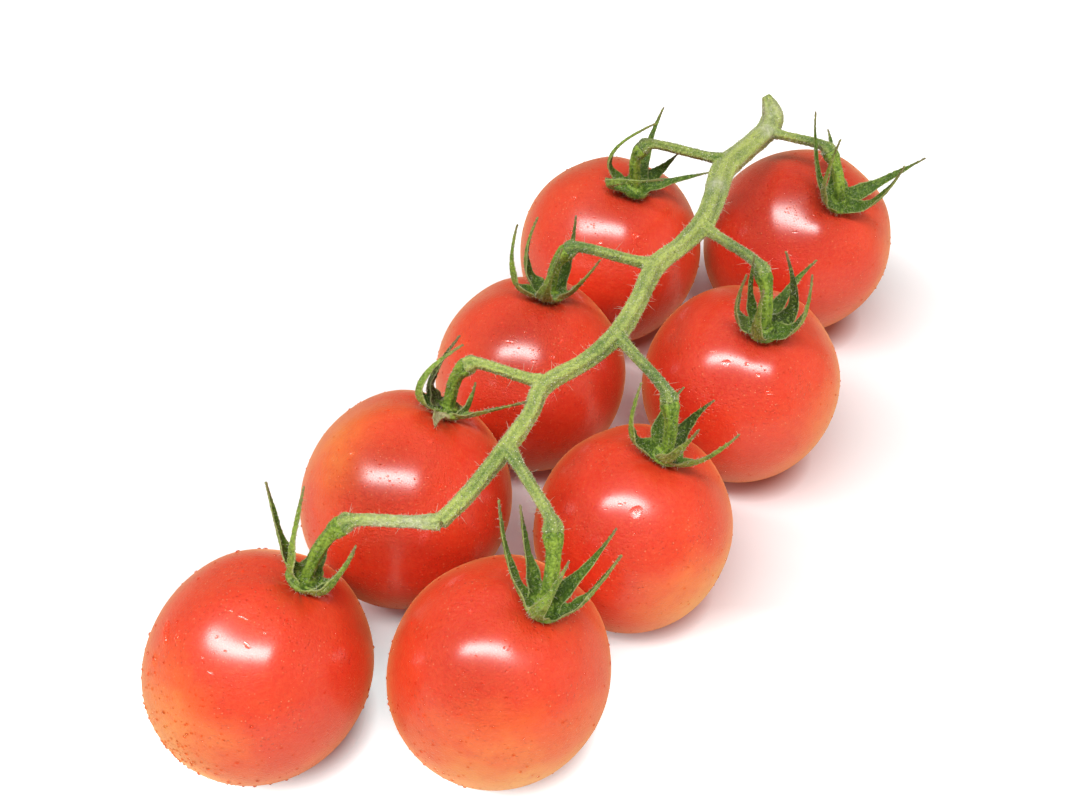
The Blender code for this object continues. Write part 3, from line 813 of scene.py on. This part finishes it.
def build_drops(fruits, camera, finish):
    """Flat-domed drops of water, laid where the camera sees them, closed under the skin."""
    turn = camera.rotation_euler.to_matrix()
    start = camera.location
    focal = CAMERA_LENS / SENSOR_WIDTH * PICTURE_WIDTH
    made = {}
    for order, drop in enumerate(DROPS):
        skin = fruits[drop.fruit - 1]
        tree = bvhtree.BVHTree.FromObject(skin, bpy.context.evaluated_depsgraph_get())
        sight = turn @ Vector((
            (drop.column - PICTURE_WIDTH / 2.0) / focal,
            (PICTURE_HEIGHT / 2.0 - drop.row) / focal,
            -1.0,
        ))
        spot, normal, _, _ = tree.ray_cast(start, sight.normalized())
        if spot is None:
            continue
        right = turn @ Vector((1.0, 0.0, 0.0))
        right = (right - normal * right.dot(normal)).normalized()
        up = normal.cross(right)
        tilt = math.radians(drop.turn)
        wide = right * math.cos(tilt) + up * math.sin(tilt)
        long = up * math.cos(tilt) - right * math.sin(tilt)
        points = []
        for under in (False, True):
            for ring in range(1, DROP_RINGS + 1):
                share = ring / DROP_RINGS
                for side in range(DROP_SIDES):
                    angle = 2.0 * math.pi * side / DROP_SIDES
                    reach = share * (1.0 + 0.1 * math.sin(2.0 * angle + order)
                                     + 0.06 * math.sin(3.0 * angle + 2.0 * order))
                    flat = spot + (
                        wide * (drop.width * 0.5 * reach * math.cos(angle))
                        + long * (drop.length * 0.5 * reach * math.sin(angle))
                    ) * MM
                    points.append(drop_point(tree, flat, drop.height, share, under))
        points.append(drop_point(tree, spot, drop.height, 0.0, False))
        points.append(drop_point(tree, spot, drop.height, 0.0, True))
        bead = plain_object(f"drop_{order}", points, drop_faces())
        made.setdefault(drop.fruit, []).append(bead)
    drops = []
    for number, beads in made.items():
        obj = joined(f"water_drops_{number}", beads)
        obj.data.shade_smooth()
        obj.data.materials.append(finish)
        drops.append(obj)
    return drops


def drop_point(tree, flat, height, share, under):
    """A point of a drop over or under the skin, in millimetres."""
    spot, normal, _, _ = tree.find_nearest(flat)
    rise = -DROP_SINK * 2.0 if under else height * (1.0 - share ** 2) ** 0.75
    if share == 1.0:
        rise = -DROP_SINK
    return np.array(spot) / MM + np.array(normal) * rise


def drop_faces():
    half = DROP_RINGS * DROP_SIDES
    top, bottom = 2 * half, 2 * half + 1
    faces = []
    for side in range(DROP_SIDES):
        after = (side + 1) % DROP_SIDES
        faces.append((top, side, after))
        faces.append((bottom, half + after, half + side))
        for ring in range(DROP_RINGS - 1):
            low = ring * DROP_SIDES
            high = low + DROP_SIDES
            faces.append((low + side, high + side, high + after, low + after))
            under = half + low
            faces.append((under + side, under + after, half + high + after, half + high + side))
        rim = (DROP_RINGS - 1) * DROP_SIDES
        faces.append((rim + side, half + rim + side, half + rim + after, rim + after))
    return faces


def live(sockets):
    """The one of a node's like-named sockets that is in use."""
    return next(s for s in sockets if s.enabled)


class Wiring:
    """Short ways to add and join the nodes of one material or group."""

    def __init__(self, tree):
        self.tree = tree

    def feed(self, target, value):
        """Join an output to the input, or set the input to a plain value."""
        if isinstance(value, bpy.types.NodeSocket):
            self.tree.links.new(value, target)
        else:
            target.default_value = value

    def give(self, node, inputs):
        """Feed a node's inputs by their names."""
        for name, value in inputs.items():
            self.feed(live(s for s in node.inputs if s.name == name), value)
        return node

    def node(self, kind, inputs=None, **settings):
        made = self.tree.nodes.new(kind)
        for name, value in settings.items():
            setattr(made, name, value)
        return self.give(made, inputs or {})

    def noise(self, place, scale, detail=3.0, roughness=0.55):
        return self.node("ShaderNodeTexNoise", {
            "Vector": place, "Scale": scale, "Detail": detail, "Roughness": roughness,
        }).outputs["Fac"]

    def math(self, operation, *values, clamp=False):
        made = self.node("ShaderNodeMath", operation=operation, use_clamp=clamp)
        for target, value in zip(made.inputs, values):
            self.feed(target, value)
        return made.outputs[0]

    def times(self, first, second):
        return self.math("MULTIPLY", first, second)

    def sum(self, *terms):
        """Terms added up, each a value and its weight."""
        total = 0.0
        for value, weight in terms:
            total = self.math("ADD", total, self.times(value, weight))
        return total

    def remap(self, value, low, high, out_low=0.0, out_high=1.0):
        return self.node("ShaderNodeMapRange", {
            "Value": value, "From Min": low, "From Max": high,
            "To Min": out_low, "To Max": out_high,
        }).outputs["Result"]

    def mix(self, share, first, second):
        inputs = {"Factor": share, "A": opaque(first), "B": opaque(second)}
        return live(self.node("ShaderNodeMix", inputs, data_type="RGBA").outputs)

    def attribute(self, name):
        return self.node("ShaderNodeAttribute", attribute_name=name).outputs["Fac"]

    def path(self, name):
        return self.node("ShaderNodeLightPath").outputs[name]

    def place_mm(self):
        """Object coordinates in millimetres."""
        inputs = {"Vector": self.node("ShaderNodeTexCoord").outputs["Object"], "Scale": (1000.0,) * 3}
        return self.node("ShaderNodeMapping", inputs).outputs["Vector"]

    def bump(self, height, distance, strength):
        inputs = {"Height": height, "Distance": distance, "Strength": strength}
        return self.node("ShaderNodeBump", inputs).outputs["Normal"]

    def group(self, tree, **values):
        """A shader node group with its own values."""
        inputs = {name.replace("_", " ").title(): value for name, value in values.items()}
        return self.node("ShaderNodeGroup", inputs, node_tree=tree).outputs


def opaque(colour):
    """A colour with its fourth part, or the output that it comes from."""
    return (*colour, 1.0) if isinstance(colour, tuple) else colour


def new_group(name, kind, inputs, outputs):
    """A node tree with named inputs and outputs: a kind, or a number or colour to start from."""
    tree = bpy.data.node_groups.new(name, kind)
    kinds = {float: "Float", int: "Int", tuple: "Color"}
    for side, sockets in (("INPUT", inputs), ("OUTPUT", outputs)):
        for label, value in sockets.items():
            sort = kinds.get(type(value), value)
            made = tree.interface.new_socket(label, in_out=side, socket_type=f"NodeSocket{sort}")
            if sort != value:
                made.default_value = value
    w = Wiring(tree)
    return tree, w, w.node("NodeGroupInput").outputs, w.node("NodeGroupOutput")


def scatter_tree(name, shape):
    """A Geometry Nodes tree that sets small shapes on a surface: hairs that stand, or beads."""
    tree, w, given, result = new_group(name, "GeometryNodeTree", {
        "Geometry": "Geometry", "Density": 1.0, "Length Least": 0.001, "Length Most": 0.001,
        "Thickness": 0.0001, "Lean": 0.3, "Seed": 0, "Finish": "Material",
    }, {"Geometry": "Geometry"})
    seed, thickness, lean = given["Seed"], given["Thickness"], given["Lean"]
    cover = w.node("GeometryNodeInputNamedAttribute", {"Name": "cover"}, data_type="FLOAT")
    scatter = w.node("GeometryNodeDistributePointsOnFaces", {
        "Mesh": given["Geometry"], "Seed": seed,
        "Density": w.times(live(cover.outputs), given["Density"]),
    }).outputs
    draw = w.node("FunctionNodeRandomValue", {"Seed": seed}, data_type="FLOAT")
    skew = w.math("POWER", live(draw.outputs), 2.0)
    length = w.remap(skew, 0.0, 1.0, given["Length Least"], given["Length Most"])
    if shape == "hair":
        cone = {"Vertices": 3, "Radius Top": 0.3, "Radius Bottom": 1.0, "Depth": 1.0}
        unit = w.node("GeometryNodeMeshCone", cone)
        size = {"X": thickness, "Y": thickness, "Z": length}
    else:
        unit = w.node("GeometryNodeMeshIcoSphere", {"Subdivisions": 1, "Radius": 1.0})
        flat = w.times(length, thickness)
        size = {"X": length, "Y": flat, "Z": flat}
    most = w.node("ShaderNodeCombineXYZ", {"X": lean, "Y": lean}).outputs[0]
    turned = {"Vector": most, "Scale": -1.0}
    least = w.node("ShaderNodeVectorMath", turned, operation="SCALE").outputs[0]
    turned = {"Min": least, "Max": most, "Seed": seed}
    angle = w.node("FunctionNodeRandomValue", turned, data_type="FLOAT_VECTOR")
    turned = {"Rotation": scatter["Rotation"], "Rotate By": live(angle.outputs)}
    tilt = w.node("FunctionNodeRotateRotation", turned, rotation_space="LOCAL")
    place = w.node("GeometryNodeInstanceOnPoints", {
        "Points": scatter["Points"], "Instance": unit.outputs["Mesh"],
        "Rotation": tilt.outputs[0], "Scale": w.node("ShaderNodeCombineXYZ", size).outputs[0],
    })
    real = w.node("GeometryNodeRealizeInstances", {"Geometry": place.outputs["Instances"]})
    dress = {"Geometry": real.outputs[0], "Material": given["Finish"]}
    made = w.node("GeometryNodeSetMaterial", dress)
    w.give(result, {"Geometry": made.outputs["Geometry"]})
    return tree


def scattered(name, surface, tree, **values):
    """What a scatter tree makes on a surface, as a plain mesh in a piece of its own."""
    grower = surface.modifiers.new("scatter", "NODES")
    grower.node_group = tree
    for item in tree.interface.items_tree:
        key = item.name.lower().replace(" ", "_")
        if item.in_out == "INPUT" and key in values:
            grower[item.identifier] = values[key]
    made = evaluated_copy(surface, name)
    surface.modifiers.remove(grower)
    made.data.shade_smooth()
    return made


def specks_group():
    """Small round specks at random over a surface, thicker in patches."""
    tree, w, given, result = new_group("specks", "ShaderNodeTree", {
        "Place": "Vector", "Spacing": 1.0, "Size": 0.2, "Patchiness": 0.5,
    }, {"Mask": "Float"})
    scale = w.math("DIVIDE", 1.0, given["Spacing"])
    cells = {"Vector": given["Place"], "Scale": scale}
    cells = w.node("ShaderNodeTexVoronoi", cells, feature="F1").outputs
    chosen = w.node("ShaderNodeSeparateColor", {"Color": cells["Color"]}).outputs
    size = w.times(given["Size"], w.remap(chosen["Green"], 0.0, 1.0, 0.5, 1.4))
    dots = w.remap(cells["Distance"], size, 0.0)
    limit = given["Patchiness"]
    patches = w.noise(given["Place"], 0.12, detail=2.0)
    patches = w.remap(patches, limit, w.math("ADD", limit, 0.15))
    some = w.math("GREATER_THAN", chosen["Red"], 0.4)
    w.give(result, {"Mask": w.times(w.times(dots, patches), some)})
    return tree


def mottle_group():
    """Patches and grains of two greens, as on a living stem: their mix and a height."""
    tree, w, given, result = new_group("green_mottle", "ShaderNodeTree", {
        "Place": "Vector", "Light Green": (0.4, 0.45, 0.12, 1.0),
        "Dark Green": (0.12, 0.2, 0.03, 1.0), "Patch": 3.0, "Darkness": 0.0,
    }, {"Colour": "Color", "Height": "Float"})
    place = given["Place"]
    patches = w.noise(place, w.math("DIVIDE", 1.0, given["Patch"]), detail=4.0)
    fine = w.noise(place, 3.6, detail=2.0, roughness=0.6)
    patchy = w.remap(patches, 0.36, 0.66, -0.1, 0.6)
    share = w.math("ADD", patchy, w.remap(fine, 0.35, 0.7, -0.12, 0.34))
    share = w.math("ADD", share, given["Darkness"], clamp=True)
    w.give(result, {
        "Colour": w.mix(share, given["Light Green"], given["Dark Green"]),
        "Height": w.sum((fine, 0.8), (patches, 0.5)),
    })
    return tree


def new_material(name):
    material = bpy.data.materials.new(name)
    material.use_nodes = True
    return material, Wiring(material.node_tree), material.node_tree.nodes["Principled BSDF"]


def tomato_finish(specks):
    """Ripe skin: orange-red, more orange low down and on one side, partly painted light from the
    bright table; satin with a glossy top coat; pale pore specks, partly painted glints; painted shade
    about the stem end.
    """
    material, w, shader = new_material("ripe_skin")
    place = w.place_mm()
    drift = w.remap(w.noise(place, 0.09, detail=4.0), 0.3, 0.7, -0.12, 0.12)
    # The ramp's input is partly painted light: the paler, more orange side and the lower part stand
    # partly for bounce from the bright table.
    ramp = w.node("ShaderNodeValToRGB", {"Fac": w.math("ADD", w.attribute("ripeness_and_painted_light"), drift)})
    stops = ramp.color_ramp.elements
    for position, _ in RIPE_COLOURS[1:-1]:
        stops.new(position)
    for stop, (position, colour) in zip(stops, RIPE_COLOURS):
        stop.position = position
        stop.color = opaque(colour)
    # Pale pore specks: partly the skin's own pale pores, partly painted glints on them.
    pores_and_glints = w.group(specks, place=place, spacing=0.62, size=0.2, patchiness=0.38)["Mask"]
    colour = w.mix(w.times(pores_and_glints, 0.8), ramp.outputs["Color"], (1.0, 0.42, 0.2))
    mottle = w.remap(w.noise(place, 1.3, detail=4.0, roughness=0.75), 0.42, 0.7, 0.0, 0.3)
    colour = w.mix(mottle, colour, (0.90, 0.13, 0.035))
    shade = w.remap(w.noise(place, 0.5, detail=3.0, roughness=0.7), 0.5, 0.75, 0.0, 0.25)
    colour = w.mix(shade, colour, (0.66, 0.02, 0.01))
    # Darker red about the stem end: painted shade in the dimple under the calyx.
    colour = w.mix(w.times(w.attribute("stem_end"), 0.55), colour, (0.5, 0.03, 0.012))
    colour = w.mix(w.attribute("tip_scar"), colour, (0.30, 0.16, 0.06))
    grain = w.noise(place, 2.6, detail=3.0, roughness=0.65)
    pits = w.group(specks, place=place, spacing=0.5, size=0.36, patchiness=0.4)["Mask"]
    wet = w.times(w.attribute("damp"), w.remap(grain, 0.35, 0.65, -1.0, 1.0))
    waves = w.noise(place, 0.3, detail=1.0)
    relief = w.sum((waves, 0.9), (grain, 0.7), (pores_and_glints, 0.3), (pits, -0.8), (wet, 0.9))
    w.give(shader, {
        "Base Color": colour,
        "Roughness": w.remap(w.noise(place, 0.16, detail=4.0), 0.35, 0.75, 0.34, 0.5),
        "Normal": w.bump(relief, 0.0003, 0.75), "Specular IOR Level": 0.25,
        "Coat Weight": 0.75, "Coat Roughness": 0.24, "Coat IOR": 1.85,
        "Sheen Weight": 0.7, "Sheen Roughness": 0.35, "Sheen Tint": (1.0, 0.5, 0.18, 1.0),
    })
    return material


def stem_finish(mottle, specks):
    """The main stem: yellow-green, greyer along the stalks, bleached at dry places."""
    material, w, shader = new_material("stem_skin")
    place = w.place_mm()
    # Darker in the grooves and lighter on the ridges: painted shade and light.
    groove_shade = w.remap(w.attribute("ridge"), 0.1, 0.7, 0.24, -0.16)
    body = w.group(
        mottle, place=place, light_green=(0.52, 0.62, 0.14, 1.0), dark_green=(0.10, 0.20, 0.03, 1.0),
        patch=9.0, darkness=w.sum((groove_shade, 1.0), (w.attribute("stalk_green"), 0.36)),
    )
    grain = w.attribute("grain")
    # Darker in the grain's pits and lighter on its lumps: painted shade and light.
    colour = w.mix(w.remap(grain, 0.5, 0.05, 0.0, 0.5), body["Colour"], (0.06, 0.14, 0.02))
    colour = w.mix(w.remap(grain, 0.6, 0.95, 0.0, 0.25), colour, (0.70, 0.78, 0.34))
    # Pale glands: partly their own pale colour, partly painted glints.
    glands_and_glints = w.group(specks, place=place, spacing=0.36, size=0.3, patchiness=0.25)["Mask"]
    colour = w.mix(w.times(glands_and_glints, 0.85), colour, (0.80, 0.84, 0.52))
    fibre = w.remap(w.noise(place, 1.4, detail=2.0), 0.35, 0.65)
    bleached = w.mix(fibre, (0.82, 0.82, 0.64), (0.46, 0.52, 0.24))
    w.give(shader, {
        "Base Color": w.mix(w.times(w.attribute("pale"), 0.8), colour, bleached),
        "Roughness": w.remap(body["Height"], 0.3, 0.9, 0.36, 0.55),
        "Normal": w.bump(w.sum((body["Height"], 1.0), (glands_and_glints, 0.5)), 0.0006, 0.9),
        "Sheen Weight": 0.15, "Sheen Roughness": 0.5, "Sheen Tint": (0.9, 0.95, 0.6, 1.0),
    })
    return material


def calyx_finish(mottle, specks):
    """Sepals veined along their length, darker inside, pale at the edges, dry at the tips."""
    material, w, shader = new_material("calyx_skin")
    place = w.place_mm()
    edge, along, tone, grain = (
        w.attribute(name) for name in ("sepal_edge", "sepal_along", "sepal_tone", "grain")
    )
    # Darker in the grooves and lighter on the ridges: painted shade and light.
    body = w.group(
        mottle, place=place, light_green=(0.27, 0.40, 0.045, 1.0),
        dark_green=(0.04, 0.11, 0.010, 1.0), patch=2.4,
        darkness=w.remap(w.attribute("ridge"), 0.1, 0.8, 0.22, -0.1),
    )
    # Darker in the grain's pits: painted shade.
    colour = w.mix(w.remap(grain, 0.5, 0.1, 0.0, 0.5), body["Colour"], (0.03, 0.08, 0.01))
    veins = w.math("SINE", w.times(edge, 2.0 * math.pi * VEIN_COUNT))
    veins = w.times(w.remap(veins, 0.0, 1.0, 0.0, 0.35), w.remap(along, 0.02, 0.12))
    glands_and_glints = w.group(specks, place=place, spacing=0.4, size=0.26, patchiness=0.25)["Mask"]
    for share, tint in (
        (veins, (0.32, 0.42, 0.13)),
        (w.remap(w.attribute("sepal_inner"), 0.5, 0.9, 0.0, 0.75), (0.03, 0.085, 0.006)),
        (w.remap(tone, 0.0, 1.0, 0.0, 0.9), (0.022, 0.03, 0.008)),
        (w.remap(tone, 0.0, -1.0, 0.0, 0.85), (0.42, 0.34, 0.19)),
        (w.times(w.remap(edge, 0.8, 1.0), w.remap(along, 0.08, 0.3, 0.0, 0.7)), (0.46, 0.46, 0.22)),
        (w.remap(along, 0.84, 1.0, 0.0, 0.8), (0.26, 0.20, 0.10)),
        # Lighter on the grain's lumps: painted light.
        (w.remap(grain, 0.55, 0.95, 0.0, 0.35), (0.40, 0.56, 0.10)),
        # Pale glands: partly their own pale colour, partly painted glints.
        (w.times(glands_and_glints, 0.7), (0.66, 0.74, 0.38)),
    ):
        colour = w.mix(share, colour, tint)
    w.give(shader, {
        "Base Color": colour,
        "Roughness": w.remap(body["Height"], 0.3, 0.9, 0.3, 0.48),
        "Normal": w.bump(w.sum((body["Height"], 1.0), (glands_and_glints, 0.4)), 0.0004, 0.6),
        "Specular IOR Level": 0.25,
        "Sheen Weight": 0.05, "Sheen Roughness": 0.5, "Sheen Tint": (0.8, 0.95, 0.5, 1.0),
    })
    return material


def hair_finish():
    """Pale plant hair."""
    material, w, shader = new_material("plant_hair")
    tone = w.noise(w.place_mm(), 0.8, detail=1.0)
    colour = w.mix(tone, (0.6, 0.62, 0.4), (0.92, 0.9, 0.76))
    w.give(shader, {"Base Color": colour, "Roughness": 0.4})
    return material


def wet_finish(name, roughness, shadow, tints=None):
    """Clear water that lets part of the light into its shadow, or dew with the red light of the skin
    under it painted in.
    """
    material, w, shader = new_material(name)
    tone = w.noise(w.place_mm(), 0.7, detail=1.0) if tints else None
    w.give(shader, {
        "Base Color": w.mix(tone, *tints) if tints else (1.0, 1.0, 1.0, 1.0),
        "Roughness": roughness, "IOR": 1.33, "Transmission Weight": 1.0,
        "Alpha": w.remap(w.path("Is Shadow Ray"), 0.0, 1.0, 1.0, shadow),
    })
    return material


def floor_finish():
    """White table with a painted glow, seen by the camera only, away from the truss, and a painted
    red-brown shadow under each fruit.
    """
    material, w, shader = new_material("white_table")
    place = w.place_mm()
    across, ahead = (w.node("ShaderNodeSeparateXYZ", {"Vector": place}).outputs[k] for k in "XY")
    # The painted shadow beside each fruit's foot, full at its core.
    shade = 0.0
    for fruit in FRUITS:
        aside = w.math("SUBTRACT", across, fruit.x + SHADE_SHIFT * fruit.radius)
        before = w.math("SUBTRACT", ahead, fruit.y)
        apart = w.sum((w.math("POWER", aside, 2.0), 1.0), (w.math("POWER", before, 2.0), 1.0))
        close = (SHADE_REACH * fruit.radius, SHADE_CORE * fruit.radius)
        shade = w.math("MAXIMUM", w.remap(w.math("SQRT", apart), *close), shade)
    white = w.mix(w.noise(place, 0.004, detail=2.0), (0.98, 0.98, 0.98), (1.0, 1.0, 1.0))
    direct = w.path("Is Camera Ray")
    # What other rays see of the table: dimmer than it looks, and warm in the fruit's gloss, a painted
    # reflection.
    painted_bounce = w.mix(w.path("Is Glossy Ray"), (0.9, 0.87, 0.84), (0.56, 0.42, 0.32))
    reach = w.sum(
        (w.math("POWER", w.math("ADD", across, ahead), 2.0), 0.18),
        (w.math("POWER", w.math("SUBTRACT", across, ahead), 2.0), 0.5),
    )
    # Painted glow on the table, seen by the camera only: away from the truss and before its front
    # fruit.
    glow = w.mix(w.remap(ahead, *FRONT_GLOW), (0.0, 0.0, 0.0), (0.46, 0.6, 0.6))
    glow = w.mix(w.remap(w.math("SQRT", reach), *FAR_GLOW), glow, (0.45, 0.45, 0.45))
    open_floor = w.times(direct, w.remap(shade, 1.0, 0.0))
    # The camera sees white with the painted red-brown shadow, and the painted glow outside it.
    w.give(shader, {
        "Base Color": w.mix(direct, painted_bounce, w.mix(shade, white, (0.5, 0.23, 0.17))),
        "Emission Color": w.mix(open_floor, (0.0, 0.0, 0.0), glow),
        "Emission Strength": 1.0, "Roughness": 0.8, "Specular IOR Level": 0.1,
    })
    return material


def build_camera():
    camera = bpy.data.cameras.new("camera")
    camera.lens = CAMERA_LENS
    camera.sensor_width = SENSOR_WIDTH
    camera.clip_start = 0.005
    camera.clip_end = 50.0
    obj = shown("camera", camera)
    obj.location = Vector(CAMERA_PLACE) * MM
    obj.rotation_euler = (math.radians(CAMERA_TILT), 0.0, 0.0)
    bpy.context.scene.camera = obj
    bpy.context.view_layer.update()
    return obj


def area_light(name, place, aim, along, width, height, power, colour=(1.0, 1.0, 1.0)):
    """A soft panel of light that faces its aim, its width laid along a direction."""
    light = bpy.data.lights.new(name, "AREA")
    light.shape = "RECTANGLE"
    light.size = width
    light.size_y = height
    light.energy = power
    light.color = colour
    obj = shown(name, light)
    back = (Vector(place) - Vector(aim)).normalized()
    level = (along - back * along.dot(back)).normalized()
    turn = Matrix((level, back.cross(level), back)).transposed()
    obj.matrix_world = Matrix.Translation(place) @ turn.to_4x4()
    return obj


def build_world():
    """An even white room, warmer and brighter where the fruit mirror it."""
    world = bpy.data.worlds.new("bright_room")
    bpy.context.scene.world = world
    world.use_nodes = True
    w = Wiring(world.node_tree)
    sky = world.node_tree.nodes["Background"]
    colour = w.mix(w.path("Is Glossy Ray"), (1.0, 1.0, 1.0), (2.1, 1.3, 0.85))
    w.give(sky, {"Color": colour, "Strength": 0.2})


def build_stage(camera):
    bpy.ops.mesh.primitive_plane_add(size=12.0, location=(0.0, 0.0, 0.0))
    floor = bpy.context.object
    floor.name = "table_top"
    floor.data.materials.append(floor_finish())
    build_world()
    turn = camera.rotation_euler.to_matrix()
    aim = Vector(LIT_POINT)
    place = aim + turn @ Vector(TOWARD_WINDOW).normalized() * WINDOW_DISTANCE
    area_light("window", place, aim, turn @ Vector(WINDOW_SLOPE), *WINDOW_SIZE, WINDOW_POWER)
    upward = Vector((0.0, 0.0, 1.0))
    fill = area_light("right_fill", FILL_PLACE, aim, upward, *FILL_SIZE, FILL_POWER, FILL_COLOUR)
    fill.visible_glossy = False
    bpy.context.scene.view_settings.view_transform = "Standard"


def dressed(piece, node=None):
    """The calls that make a piece part of the finished object."""
    if node:
        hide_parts(node)
    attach(piece, "root")
    return piece


def main():
    specks = specks_group()
    mottle = mottle_group()
    ripe = tomato_finish(specks)
    stem_skin = stem_finish(mottle, specks)
    calyx_skin = calyx_finish(mottle, specks)
    hair = hair_finish()
    water = wet_finish("water", 0.0, 0.3)
    # Dew's red tints are painted light from the skin under it.
    dew = wet_finish("dew", 0.02, 0.5, ((0.8, 0.34, 0.22), (1.0, 0.76, 0.62)))
    hairs = scatter_tree("plant_hairs", "hair")
    beads = scatter_tree("water_beads", "bead")
    camera = build_camera()

    stem = dressed(build_stem(stem_skin), "truss_stem")
    for name, tree, seed, cover in (
        ("stem_fuzz", hairs, 4, FUZZ),
        ("stem_hairs", hairs, 5, LONG_HAIRS),
        # Pale glands on the stem, their colour partly painted glints.
        ("stem_grains", beads, 6, GLINT_GRAINS),
    ):
        dressed(scattered(name, stem, tree, seed=seed, finish=hair, **cover))

    fruits = []
    for index in range(len(FRUITS)):
        number = index + 1
        fruit = dressed(build_fruit(index, ripe), f"tomato_{number}")
        fruits.append(fruit)
        dressed(scattered(
            f"dew_{number}", fruit, beads, length_most=DEW_MOST[index] * MM, seed=30 + index,
            finish=dew, **DEW,
        ))
        calyx = dressed(build_calyx(index, calyx_skin), f"calyx_{number}")
        dressed(scattered(
            f"calyx_hairs_{number}", calyx, hairs, seed=50 + index, finish=hair, **CALYX_HAIRS,
        ))
    for drops in build_drops(fruits, camera, water):
        dressed(drops)

    build_stage(camera)
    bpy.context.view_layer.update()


main()
